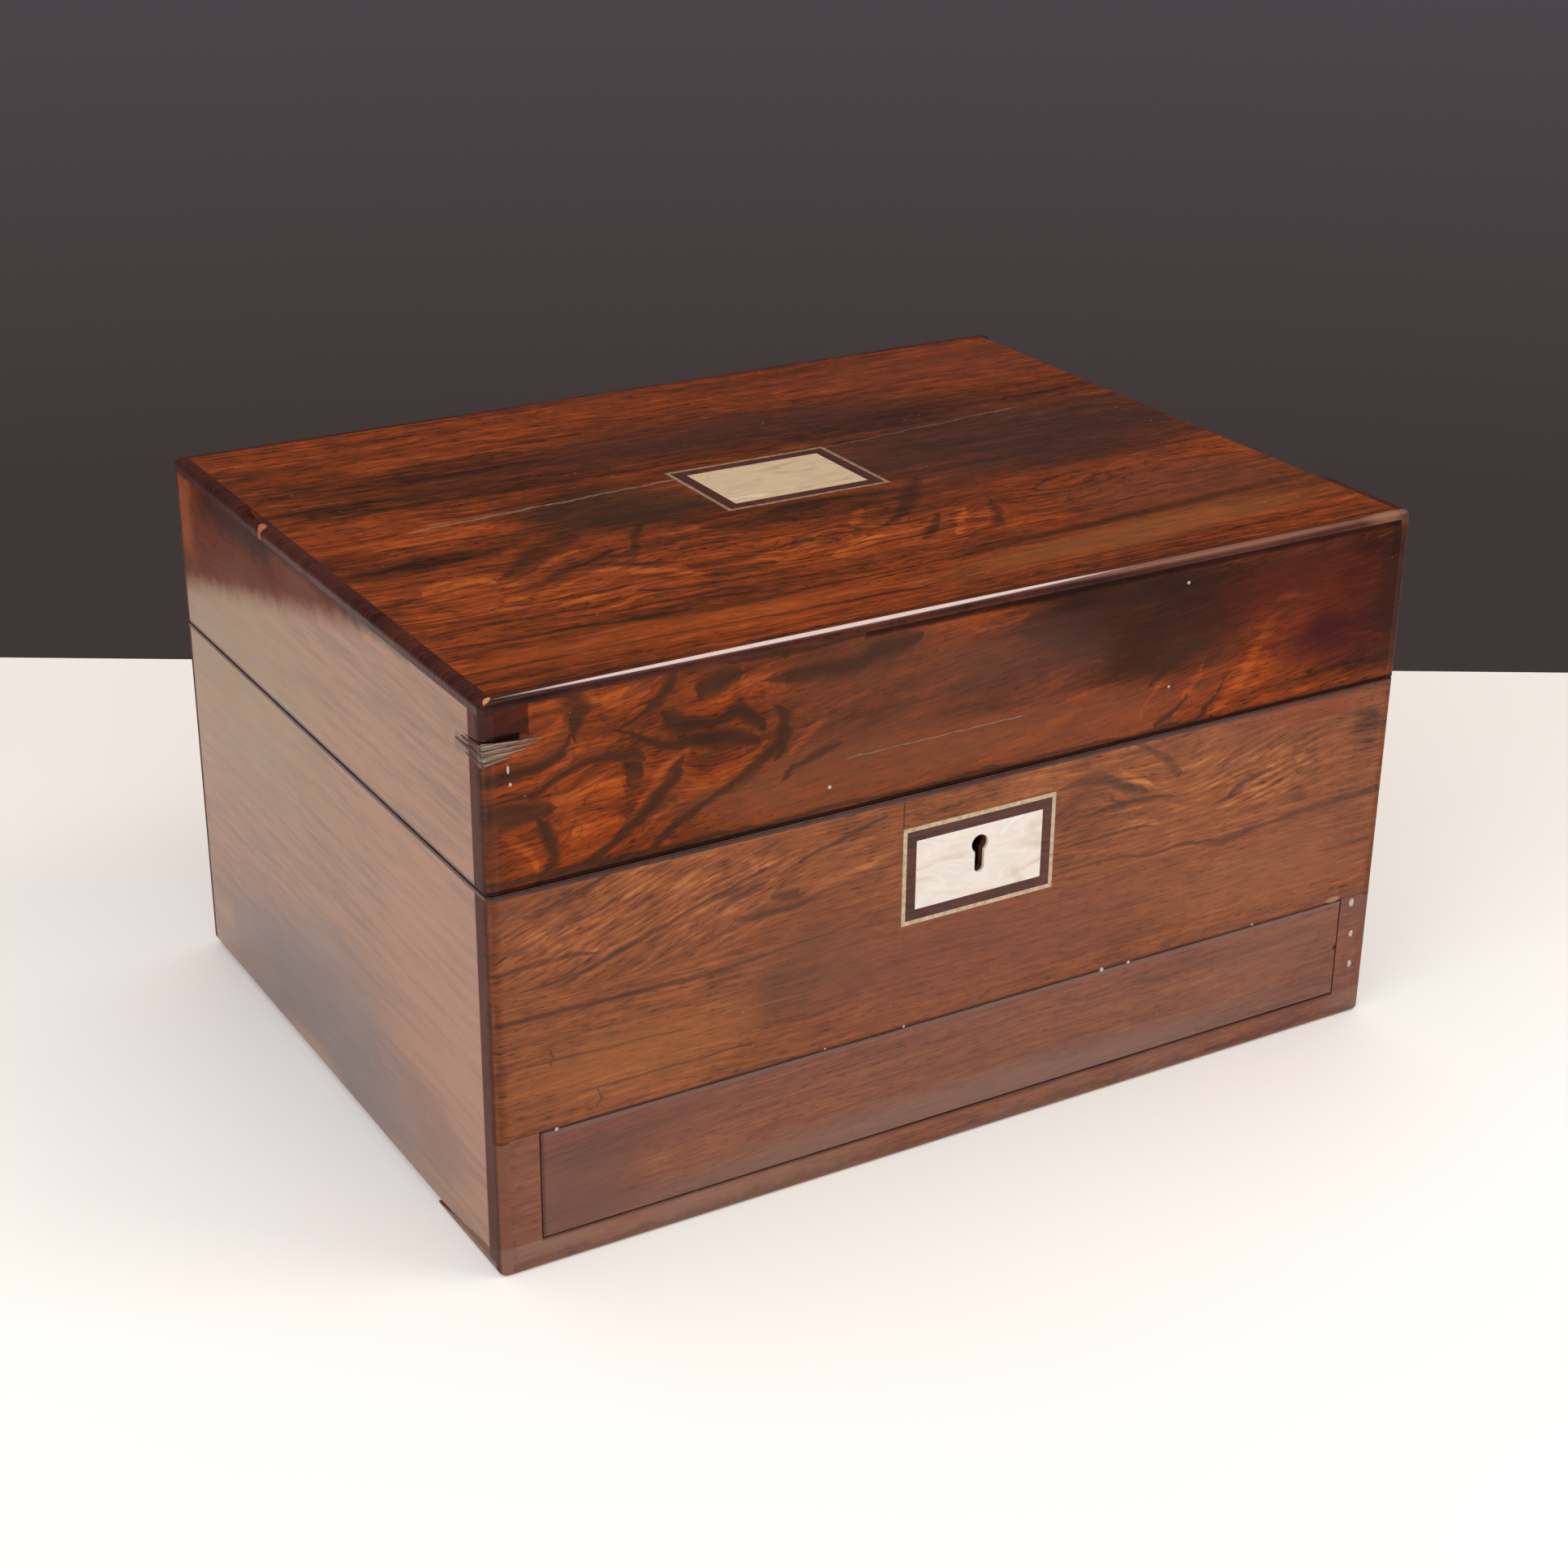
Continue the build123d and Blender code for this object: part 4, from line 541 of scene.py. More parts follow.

# Base front: sun faded, duller with a partly painted sheen, leaning fibres at the left, curls right of the
# escutcheon
baseFrontLook = {
    "grain": "front", "seed": 57.0, "drift": 6.0, "curl": 20.0, "curlLength": 36.0, "curlHeight": 14.0,
    "bandLength": 90.0, "bandHeight": 3.4, "lineSpacing": 3.8, "lineMix": 1.6, "lineEdge": 0.4,
    "tone": 0.56, "cloud": 0.06, "band": 0.08, "lineDark": 0.06, "lineWild": 0.16, "fibre": 0.2,
    "pore": 0.26, "blotch": 0.1, "slope": 1.0, "slantMore": 0.7, "figure": 0.3, "figureLean": -12,
    "figureLength": 34, "figureHeight": 9, "figureWidth": 0.045, "figureShade": "#5f3c2b", "mark": 0.3,
    "glow": 0.16, "shake": 2.6, "shades": ["#331a10", "#562f1d", "#7d4527", "#9d5a31", "#c07b45"],
    "tint": "#854a35", "tintAmount": 0.35, "rough": 0.42, "coat": 0.04, "shine": 0.2,
    "wild": [(60, 103, 50, 22, 0, 1.0), (120, 96, 50, 20, 0, 0.5)],
    "slants": [(-108, 100, 74, 22, 0, 17, 0.55), (104, 96, 36, 18, 0, 12, 0.5)],
    "patches": [
        (-100, 98, 70, 16, 0, 0.05), (-62, 66, 14, 11, 0, -0.13), (-50, 84, 34, 14, 0, -0.08),
        (-105, 57, 46, 14, 0, 0.1), (95, 60, 60, 18, 0, 0.08), (70, 112, 50, 8, 0, 0.06),
        (143, 101, 9, 8, -30, -0.3), (117, 85, 7, 3.5, -40, -0.22), (88, 92, 56, 20, 0, 0.16),
        (20, 112, 20, 7, 0, 0.2), (-100, 108, 40, 9, 0, 0.1)],
    "stains": [(0, 62, 90, 28, 0, "#804a3a", 0.55), (-58, 70, 36, 18, 0, "#6f4732", 0.4),
               (-108, 58, 50, 16, 0, "#9a5f33", 0.4), (120, 112, 30, 8, 0, "#8c3c1d", 0.45),
               (100, 60, 50, 14, 0, "#9a5f3c", 0.35)],
    "marks": [
        [(-154, 78.6, 0.9), (-135, 78, 0.8), (-110, 77.6, 0.8), (-90, 77.3, 0.6), (-75, 78.2, 0.6),
         (-60, 79.2, 0.4), (-36, 81, 0)],
        [(22, 78, 0), (40, 79.3, 0.4), (52, 79, 0.6), (62, 77.4, 0.5), (72, 77.8, 0.7), (80, 76.3, 0.9),
         (90, 75.4, 1.3), (100, 76.8, 0.8), (114, 77.9, 0.8), (132, 78.7, 1.1), (154, 79, 1.2)],
        [(30, 86.6, 0), (46, 87.5, 0.5), (62, 86, 0)], [(-82, 91.8, 0), (-70, 91, 1.1), (-54, 93, 0)],
        [(-86, 95, 0), (-79, 98.2, 1.0), (-70, 101, 0)], [(-69, 96.5, 0), (-63, 95, 1.6), (-58, 96, 0)],
        [(24, 105, 0), (33, 107, 0.9), (42, 106, 1.6), (50, 102, 1.6), (60, 99, 0)],
        [(54, 116, 0.8), (60, 111, 1.4), (66, 106, 1.6), (72, 101, 0)],
        [(36, 95, 0), (52, 96.5, 0.8), (70, 94, 0)], [(90, 90, 0), (96, 93, 1.0), (106, 96, 0)],
        [(-150, 93, 0.6), (-136, 94, 0.8), (-122, 92, 0)],
        [(-148, 86, 0), (-128, 88, 0.6), (-112, 92, 0.8), (-100, 96, 0)],
        [(-142, 108, 0), (-133, 109, 1.0), (-122, 113, 0.8), (-112, 117, 0)],
        [(-112, 92, 0), (-98, 96, 0.5), (-84, 101, 0.5), (-70, 105, 0)],
        [(-60, 104, 0), (-46, 108, 0.7), (-30, 112, 0)], [(-128, 51.6, 0), (-100, 51.8, 0.4), (-70, 51, 0)],
        [(-140, 64, 0), (-118, 63, 0.4), (-92, 62, 0)]],
    "uprightMarks": [[(46, -122.6, 0), (48.6, -122.3, 0.4), (51.4, -122.4, 0)],
                     [(62, -135.8, 0), (65, -134.8, 0.4), (68.4, -136.2, 0)]],
    "glows": [
        [(48, 108, 0), (54, 104, 1.6), (62, 100, 0)], [(56, 114, 0), (64, 107, 1.4), (72, 102, 0)],
        [(48, 89, 0), (56, 88.5, 1.4), (63, 88, 0)], [(34, 82, 0), (40, 83, 1.2), (46, 82, 0)],
        [(-58, 94, 0), (-50, 95.5, 1.3), (-40, 97, 1.2), (-28, 100, 0)],
        [(-96, 92, 0), (-84, 94, 1.0), (-70, 95, 0)], [(-84, 87.5, 0), (-70, 88.5, 0.7), (-56, 90.5, 0)]],
    "bits": [
        (-26.2, -25.8, 105.6, 116, "#2a140d", 0.75, 0.2, 0.4, 0),
        # dark line above the drawer: painted shade and grime in the gap
        (-140.2, 140.2, 42, 43.2, "#241009", 0.8, 0.5, 0.4, 0),
        (-153, -140, 42, 42.9, "#3a1d13", 0.5, 0.3, 0.4, 0),
        (140, 153, 42, 42.9, "#3a1d13", 0.5, 0.3, 0.4, 0),
        # painted highlight on the rim's rounded lip below the parting line
        (-153, 153, 115.2, 116.4, "#6d5a54", 0.6, 0.6, 0.4, 0)],
    "dots": [{"at": (136.4, 43.6), "size": (3.4, 1.1), "shade": "#a47a52", "rise": -1.0}],
}
dress(rosewood("rosewoodBaseFront", baseFrontLook), "base_front_veneer")

# Drawer front, stiles and front rail: plain straight wood, faded rose-brown
drawerLook = {
    "grain": "front", "seed": 83.0, "drift": 5.0, "curl": 8.0, "curlLength": 60.0, "curlHeight": 12.0,
    "bandLength": 140.0, "bandHeight": 4.0, "lineSpacing": 4.0, "lineMix": 1.5, "lineEdge": 0.7,
    "tone": 0.55, "cloud": 0.1, "band": 0.08, "lineDark": 0.1, "fibre": 0.17, "pore": 0.2, "slope": 2.0,
    "shades": ["#3a1f16", "#5c3324", "#7b4632", "#935a3b", "#ad7148"], "tint": "#7d4d3f",
    "tintAmount": 0.45, "rough": 0.45, "coat": 0.05, "shine": 0.35,
    "patches": [(-120, 32, 30, 8, 0, -0.12), (-128, 16, 30, 10, 0, -0.12), (100, 26, 34, 14, 0, 0.1)],
    # the first stain, pale and grey along the bottom, is a painted reflection of the table
    "stains": [(0, 10, 170, 13, 0, "#84685c", 0.6), (-128, 22, 24, 22, 0, "#63463c", 0.5)],
    # a painted highlight on the drawer's rounded top lip
    "bits": [(-140, 140, 40.9, 42.4, "#74605d", 0.5, 0.5, 0.4, 0),
             # painted shade in the gap at the drawer's left
             (-140.5, -138.9, 9, 43, "#2a1812", 0.55, 0.5, 0.4, 0)],
    "dots": [{"at": (139.0, 26.0), "size": (0.8, 1.1), "shade": "#1c0c08"}],
}
dress(rosewood("rosewoodDrawerFront", drawerLook), "drawer_front_veneer")
# greyer rail tint: painted reflection of the table; dark top line: painted shade under the drawer
railLook = dict(drawerLook, seed=97.0, tone=0.56, wear=0.6, patches=[], wearReach=7.0, dots=[], stains=[],
                tint="#8f7060", tintAmount=0.75,
                bits=[(-140.2, 140.2, 8.4, 9.2, "#2c1811", 0.6, 0.3, 0.4, 0)])
dress(rosewood("rosewoodRail", railLook), "front_rail")
stileLook = dict(railLook, seed=101.0, tint="#7b4a3c", tintAmount=0.5, bits=[])
dress(rosewood("rosewoodStiles", stileLook), "front_stiles")

# Sides and back: plain quarter cut, red-brown, polished, the left side pale but for one corner,
# from sun bleaching and from a painted reflection of the pale table
sideLook = {
    "grain": "side", "seed": 121.0, "drift": 10.0, "curl": 14.0, "curlLength": 70.0, "curlHeight": 20.0,
    "bandLength": 140.0, "bandHeight": 5.0, "lineSpacing": 5.0, "lineMix": 1.8, "lineEdge": 0.5,
    "tone": 0.5, "cloud": 0.1, "band": 0.1, "lineDark": 0.1, "fibre": 0.16, "pore": 0.2, "slope": 3.0,
    "shades": ["#220e08", "#43190c", "#662c15", "#85441f", "#a05a33"], "tint": "#6e2f1e", "tintAmount": 0.3,
    # the pale veil's shade and its leaning line: sun fading and a painted reflection of the table
    "rough": 0.34, "coat": 0.9, "coatRough": 0.28, "shine": 0.06, "sheenAndFadeShade": "#a36f4b",
    "streakShade": "#6e4833", "shelteredShade": "#5c2206", "tornShade": "#7f5848", "stripEnd": -105.8,
    "sheenAndFade": {"lean": 0.24, "ragged": 6.0, "low": 161.0, "high": 151.0, "amount": 0.84,
             "blend": "SMOOTHSTEP"},
    "torn": {"lean": 0.11, "ragged": 2.5, "low": -6.0, "high": -5.2, "amount": 1.0, "blend": "LINEAR"},
    "patches": [(-60, 28, 34, 9, 20, -0.16)],
    # stains show only on the pale veil; the grey-blue ones low down paint the reflection of the table's shade
    "stains": [(20, 16, 120, 40, 0, "#54444c", 0.85), (0, 40, 60, 26, -12, "#6f5a58", 0.5),
               (-72, 26, 30, 16, 14, "#7c4630", 0.6), (22, 5, 34, 7, 0, "#a2724e", 0.6),
               (-85, 75, 60, 60, 0, "#b07860", 0.4), (90, 120, 50, 20, -20, "#845c34", 0.45),
               (62, 112, 84, 60, -14, "#8a6c40", 0.72)],
    "bits": [(30, 92, 158, 168, "#2a120a", 0.75, 5.0, 10.0, 0),
             # painted shadow under the lid's edging
             (-70, 50, 164.5, 168, "#33160f", 0.8, 1.8, 5.0, 0),
             (101, 112, 142, 166, "#a25a30", 0.5, 6.0, 12.0, 0),
             (-106, -97.5, 152.2, 157.8, "#5d423a", 0.8, 1.0, 6.0, 0),
             # dark parting line: painted shade and grime in the gap between lid and base
             (-113, 530, 115.7, 117.3, "#120907", 0.85, 0.35, 0.4, 0),
             # dark front band: the corner post's plum wood, and painted shade where the rounded corner
             # reflects less
             (-114, -105.8, 0, 171, "#4c251d", 0.85, 0.8, 0.4, 0),
             (92, 108, 13, 22, "#a5713f", 0.6, 4.0, 14.0, 0)],
}
dress(rosewood("rosewoodSides", sideLook), "base_side_veneers", "lid_side_veneers")

# Corner strips, edgings and foot strips: dark plum wood, rounded by use
edgeLook = {
    "grain": "post", "seed": 151.0, "drift": 4.0, "curl": 6.0, "curlLength": 40.0, "curlHeight": 10.0,
    "bandLength": 90.0, "bandHeight": 2.0, "lineSpacing": 2.4, "lineMix": 1.4, "lineEdge": 0.6, "tone": 0.4,
    "cloud": 0.12, "band": 0.1, "lineDark": 0.16, "fibre": 0.12, "pore": 0.16,
    "shades": ["#1c0e0c", "#341813", "#52271c", "#6f3926", "#8e5235"], "tint": "#4f2825", "tintAmount": 0.4,
    "rough": 0.3, "coat": 0.2, "coatRough": 0.22, "shine": 0.25, "wear": 0.4, "wearReach": 5.5,
    "grime": 0.15, "wornShade": "#8a5a42",
}
# corner posts: own tone to the drawer, painted reflection at the rail, dark plum and painted shade on the
# sides
cornerToneSheenAndShade = [(-154, 154, -1, 42, "#7e5242", 0.75, 0.3, 0.4, 0),
              (-154, 154, -1, 9, "#896a5b", 0.6, 1.0, 0.4, 0)]
cornerToneSheenAndShade += [(side * 152.2, side * 154, 0, 171, "#3f211b", 0.8, 0.3, 0.4, 0) for side in (-1, 1)]
for name, look, strips in (("rosewoodLidCorners", lidFrontLook, "lid_corner_strips"),
                           ("rosewoodBaseCorners", baseFrontLook, "base_corner_strips")):
    cornerLook = dict(look, rough=0.5, coat=0.0, shine=0.15, tintAmount=0.6, bits=look["bits"] + cornerToneSheenAndShade)
    dress(rosewood(name, cornerLook), strips)
edgeChipsAndHighlight = [
    # the bead's right part, worn pink-brown with a painted highlight
    {"at": (80, -112.4), "size": (90, 1.3), "shade": "#93624d", "rise": 0.0, "core": 0.3, "amount": 0.7},
    {"at": (143, -112.4), "size": (12, 2.2), "shade": "#9a6a50", "rise": -1.5, "core": 0.2, "amount": 0.8},
    # a painted highlight along the rounded front bead
    {"at": (-50, -112.1), "size": (105, 0.8), "shade": "#dcc4be", "rise": 0.0, "core": 0.7, "amount": 0.95},
    {"at": (-149.8, -111.9), "size": (1.9, 0.8), "turn": 35, "shade": "#c08a55", "rise": -3.0},
    {"at": (-151.4, 38.5), "size": (1.5, 2.6), "shade": "#a9643c", "rise": -3.0}]
lidEdgeLook = dict(edgeLook, grain="top", seed=163.0, coat=0.1, shine=0.1, wear=0.12, wearReach=3.0,
                   dots=edgeChipsAndHighlight)
dress(rosewood("rosewoodLidEdge", lidEdgeLook), "lid_edgings", "lid_right_edging")
# the rim's greyed tint: partly wear, partly a painted sheen on its rounded lip
rimLook = dict(edgeLook, grain="top", seed=169.0, tint="#4a3a35", tintAmount=0.5, wear=0.0)
dress(rosewood("rosewoodRim", rimLook), "base_rim_facing")
footLook = dict(edgeLook, grain="top", seed=177.0, tone=0.7, grime=0.0, tint="#8a6350", tintAmount=0.7)
dress(rosewood("rosewoodFoot", footLook), "foot_strips", "left_foot_strip")
bandLook = dict(edgeLook, grain="front", seed=191.0, tone=0.5, rough=0.4)
dress(rosewood("rosewoodBands", bandLook), "escutcheon_band", "lid_plate_band")
print("rosewood done")


# Mahogany: plain straight-grained carcase wood, planed, bare or thinly polished, red-brown and quiet
def mahogany(name, look):
    material, add, shader, inMm = newMaterial(name)
    axes = add("SeparateXYZ", inMm)
    along, over, depth = (axes.outputs[axis] for axis in grainTurns[look["grain"]])
    flat = add("CombineXYZ", along, over, depth)
    ringNoise = stretched(add, flat, 160, 9, 1 / 9, 4.0)
    fibres = stretched(add, flat, 12, 0.6, 1 / 0.6, 3.0, 0.6)
    pores = add("MapRange", stretched(add, flat, 3.5, 0.45, 1 / 0.45, 1.0, 0.5), 0.6, 0.7)
    tone = add("Math MULTIPLY_ADD", fibres, 0.4, ringNoise)
    tone = add("Math MULTIPLY_ADD", pores, -0.25, tone)
    stainNoise = add("TexNoise", {"Vector": inMm, "Scale": 1 / 45, "Detail": 4.0})
    stain = add("MapRange", stainNoise, 0.5, 0.75, 0, 0.5)
    colour = tinted(add, shadeRamp(add, tone, (look["dark"], look["light"]), 0.3), stain, look["stain"])
    height = add("Math MULTIPLY_ADD", pores, -0.8, fibres)
    gloss = add("MapRange", stainNoise, 0, 1, look["rough"] - 0.1, look["rough"] + 0.1)
    feed(shader,
         {"Base Color": colour, "Roughness": gloss, "Normal": bumped(add, height, 0.5, 0.1), "IOR": 1.5})
    return material


mahoganyLook = {"grain": "top", "dark": "#4a2415", "light": "#8a5130", "stain": "#41210f", "rough": 0.55}
boardsAlongX = ["base_back_panel", "base_front_panel", "bottom_board", "dust_board", "lid_front_panel",
                "lid_back_panel", "lid_top_board", "drawer_front", "drawer_back", "drawer_bottom",
                "tray_bottom"]
boardsAlongY = ["base_side_panels", "lid_side_panels", "drawer_guides", "tray_ledges", "drawer_sides"]
dress(mahogany("mahoganyAcross", mahoganyLook), *boardsAlongX)
dress(mahogany("mahoganyDeep", dict(mahoganyLook, grain="side")), *boardsAlongY)
dress(mahogany("mahoganyTray", dict(mahoganyLook, dark="#55291a", light="#9a5c38", rough=0.42)),
      "tray_frame", "tray_partitions")
dress(rosewood("rosewoodTrough", dict(edgeLook, grain="top", seed=203.0, tone=0.55, wear=0.0, grime=0.0)),
      "pen_trough")
print("mahogany done")


# Mother of pearl: ground and polished shell, cream with soft silvery and pinkish clouds under a gloss
def pearl(name, look):
    material, add, shader, inMm = newMaterial(name)
    turned = add("Mapping", {"Vector": inMm, "Rotation": look["turn"], "Scale": (0.06, 0.16, 0.16)})
    clouds = add("TexNoise",
                 {"Vector": turned, "Scale": 1.0, "Detail": 4.0, "Roughness": 0.45, "Distortion": 0.8})
    flattened = add("Mapping", {"Vector": inMm, "Rotation": look["turn"], "Scale": (0.1, 0.9, 0.9)})
    layers = add("TexNoise", {"Vector": flattened, "Scale": 1.0, "Detail": 5.0, "Roughness": 0.6})
    depth = add("Math MULTIPLY_ADD", layers, look["streaks"],
                add("Math MULTIPLY", clouds, 1.1 - look["streaks"]))
    # a few scratches
    slanting = add("Mapping", {"Vector": inMm, "Rotation": (0.4, 0.2, 0.9), "Scale": (0.1, 4.0, 4.0)})
    scratch = add("TexNoise", {"Vector": slanting, "Scale": 1.0, "Detail": 2.0})
    worn = add("MapRange", scratch, 0.66, 0.74, 0, 0.35)
    colour = tinted(add, shadeRamp(add, depth, look["shades"], 0.36, 0.72), worn, look["scratch"])
    height = add("Math MULTIPLY_ADD", worn, -1.0, add("Math MULTIPLY", clouds, 3.0))
    feed(shader,
         {"Base Color": colour, "Roughness": look["rough"], "Normal": bumped(add, height, 0.3, 0.3),
          "IOR": 1.55, "Coat Weight": 0.4, "Coat Roughness": 0.12})
    return material


escutcheonPearl = {"shades": ["#dccbbb", "#ebddcf", "#f3e9df", "#eae0d6", "#f6f0e9"], "streaks": 0.14,
                   "scratch": "#bfa58c", "rough": 0.3, "turn": (0.0, 0.45, 0)}
dress(pearl("pearlEscutcheon", escutcheonPearl), "escutcheon_plate")
lidPearl = {"shades": ["#b99a78", "#d0b18c", "#d8bb97", "#cbae8c", "#e0c8a6"], "streaks": 0.3,
            "scratch": "#e6d6bd", "rough": 0.32, "turn": (0.0, 0.0, 0.5)}
dress(pearl("pearlLidPlate", lidPearl), "lid_plate")


# Boxwood stringing: close-grained pale wood, yellowed by polish
def boxwood(name, look):
    material, add, shader, inMm = newMaterial(name)
    patchy = add("TexNoise", {"Vector": inMm, "Scale": 0.6, "Detail": 5.0, "Roughness": 0.65})
    colour = shadeRamp(add, patchy, (look["dark"], look["light"]), 0.3, 0.7)
    feed(shader,
         {"Base Color": colour, "Roughness": 0.4, "Normal": bumped(add, patchy, 0.3, 0.1), "IOR": 1.5})
    return material


dress(boxwood("boxwoodFront", {"dark": "#a58a68", "light": "#dcc7a6"}), "escutcheon_stringing")
dress(boxwood("boxwoodTop", {"dark": "#6f5540", "light": "#a88c6b"}), "lid_plate_stringing")


# Brass: sawn and filed by hand, yellow gold, tarnished brown in its corners
def brass(name, look):
    material, add, shader, inMm = newMaterial(name)
    tarnishNoise = add("TexNoise", {"Vector": inMm, "Scale": 1 / 6, "Detail": 6.0, "Roughness": 0.7})
    drawnOut = add("Mapping", {"Vector": inMm, "Scale": (0.15, 4.0, 4.0)})
    fileMarks = add("TexNoise", {"Vector": drawnOut, "Scale": 1.0, "Detail": 3.0})
    tarnish = add("MapRange", tarnishNoise, 0.4, 0.7, 0, look["tarnish"])
    colour = tinted(add, linear(look["bright"]), tarnish, look["dull"])
    rough = add("Math MULTIPLY_ADD", tarnish, 0.35, look["rough"])
    feed(shader,
         {"Base Color": colour, "Roughness": rough, "Normal": bumped(add, fileMarks, 0.35, 0.06),
          "Metallic": 1.0})
    return material


dress(brass("brassAged", {"bright": "#c9a15c", "dull": "#7a5a33", "tarnish": 0.7, "rough": 0.28}),
      "lock_case", "lock_cap", "base_hinge_leaves", "lid_hinge_leaves", "link_plate", "lock_bolt",
      "drawer_pin")
dress(brass("brassScrews", {"bright": "#c49a55", "dull": "#5f4527", "tarnish": 0.9, "rough": 0.32}),
      "case_screws", "lid_screws")
dress(brass("brassCaps", {"bright": "#d0a95f", "dull": "#8a683a", "tarnish": 0.5, "rough": 0.22}),
      "left_ink_cap", "right_ink_cap")
# Spring steel: blued and then dulled, grey with brown bloom
dress(brass("springSteel", {"bright": "#8d8f93", "dull": "#4c4039", "tarnish": 0.6, "rough": 0.3}),
      "lock_spring", "drawer_spring", "hinge_pins")


# Skiver leather on the lid's lining board: thin sheepskin, dark green and pebbled, with one gilt line
def skiver(name, look):
    material, add, shader, inMm = newMaterial(name)
    axes = add("SeparateXYZ", inMm)
    pebble = add("TexVoronoi", {"Vector": inMm, "Scale": 1 / 0.9})
    wrinkle = add("TexNoise", {"Vector": inMm, "Scale": 1 / 3.0, "Detail": 5.0, "Roughness": 0.7})
    shade = add("TexNoise", {"Vector": inMm, "Scale": 1 / 50, "Detail": 4.0})
    tone = add("Math MULTIPLY", add("Math ADD", wrinkle, shade), 0.5)
    absX = add("Math ABSOLUTE", axes.outputs["X"])
    absY = add("Math ABSOLUTE", axes.outputs["Y"])
    insetX = add("Math SUBTRACT", look["half"][0], absX)
    insetY = add("Math SUBTRACT", look["half"][1], absY)
    inset = add("Math MINIMUM", insetX, insetY)
    off = add("Math ABSOLUTE", add("Math SUBTRACT", inset, look["giltInset"]))
    giltLine = add("MapRange", off, look["giltWidth"] / 2 + 0.15, look["giltWidth"] / 2)
    kept = add("MapRange", wrinkle, 0.36, 0.46)
    gilt = add("Math MULTIPLY", giltLine, kept)
    colour = tinted(add, shadeRamp(add, tone, (look["dark"], look["light"]), 0.3, 0.7), gilt, look["gilt"])
    height = add("Math MULTIPLY_ADD", giltLine, -1.0, add("Math ADD", pebble, wrinkle))
    feed(shader,
         {"Base Color": colour, "Roughness": 0.5, "Normal": bumped(add, height, 0.4, 0.2),
          "Metallic": gilt})
    return material


skiverLook = {"dark": "#16261c", "light": "#2f4534", "gilt": "#b8914a", "half": (142.2, 103.2),
              "giltInset": 8.0, "giltWidth": 0.9}
dress(skiver("skiverLeather", skiverLook), "lid_lining")


# Lining paper: rag paper, once dark blue-grey, faded and foxed
def ragPaper(name, look):
    material, add, shader, inMm = newMaterial(name)
    fibre = add("TexNoise", {"Vector": inMm, "Scale": 1.2, "Detail": 6.0, "Roughness": 0.75})
    foxing = add("TexNoise", {"Vector": inMm, "Scale": 1 / 16, "Detail": 6.0, "Roughness": 0.7})
    spots = add("MapRange", foxing, 0.56, 0.72, 0, 0.6)
    colour = tinted(add, shadeRamp(add, fibre, (look["dark"], look["light"]), 0.3, 0.75), spots,
                    look["foxing"])
    feed(shader, {"Base Color": colour, "Roughness": 0.85, "Normal": bumped(add, fibre, 0.4, 0.1)})
    return material


dress(ragPaper("liningPaper", {"dark": "#3b434c", "light": "#66707a", "foxing": "#6d5a43"}),
      "compartment_lining", "drawer_lining")


# Bottle glass: thick moulded and cut, clear with a grey-green cast and a trace of dried ink inside
def bottleGlass(name, look):
    material, add, shader, inMm = newMaterial(name)
    ripple = add("TexNoise", {"Vector": inMm, "Scale": 1 / 7, "Detail": 3.0})
    stain = add("TexNoise", {"Vector": inMm, "Scale": 1 / 5, "Detail": 5.0, "Roughness": 0.7})
    inkHeight = add("MapRange", add("SeparateXYZ", inMm).outputs["Z"], look["inkTop"], look["inkTop"] - 7.0)
    ink = add("Math MULTIPLY", inkHeight, add("MapRange", stain, 0.35, 0.65))
    colour = tinted(add, linear(look["clear"]), ink, look["ink"])
    feed(shader,
         {"Base Color": colour, "Roughness": 0.04, "Normal": bumped(add, ripple, 0.25, 0.3),
          "Transmission Weight": 0.92, "IOR": 1.52})
    return material


dress(bottleGlass("inkBottleGlass", {"clear": "#dfe8e2", "ink": "#2a2c3a", "inkTop": 92.0}),
      "left_ink_bottle", "right_ink_bottle")
print("pearl, stringing, brass, leather, paper and glass done")


# Where the lid's front left corner split: tongues of raw wood, greyed with dust, on the wood they tore from
splitCorner = {
    "shake": 0.14,  # how uneven each tongue is
    "tongues": [
        {"from": (-152.3, -113.3, 158.0), "to": (-135.6, -113.5, 157.3), "wide": 2.0, "thick": 1.4},
        {"from": (-152.4, -113.3, 156.3), "to": (-137.4, -113.5, 156.4), "wide": 1.7, "thick": 1.7},
        {"from": (-152.3, -113.4, 154.7), "to": (-140.4, -113.5, 155.3), "wide": 1.8, "thick": 1.4},
        {"from": (-151.8, -113.4, 153.2), "to": (-144.2, -113.5, 153.9), "wide": 1.3, "thick": 1.1},
        {"from": (-152.4, -112.8, 157.2), "to": (-152.5, -101.5, 157.0), "wide": 2.2, "thick": 0.9},
        {"from": (-152.4, -113.0, 155.0), "to": (-152.5, -98.0, 155.4), "wide": 2.6, "thick": 1.0},
        {"from": (-152.4, -112.8, 153.0), "to": (-152.5, -104.0, 153.4), "wide": 1.8, "thick": 0.9},
    ],
}
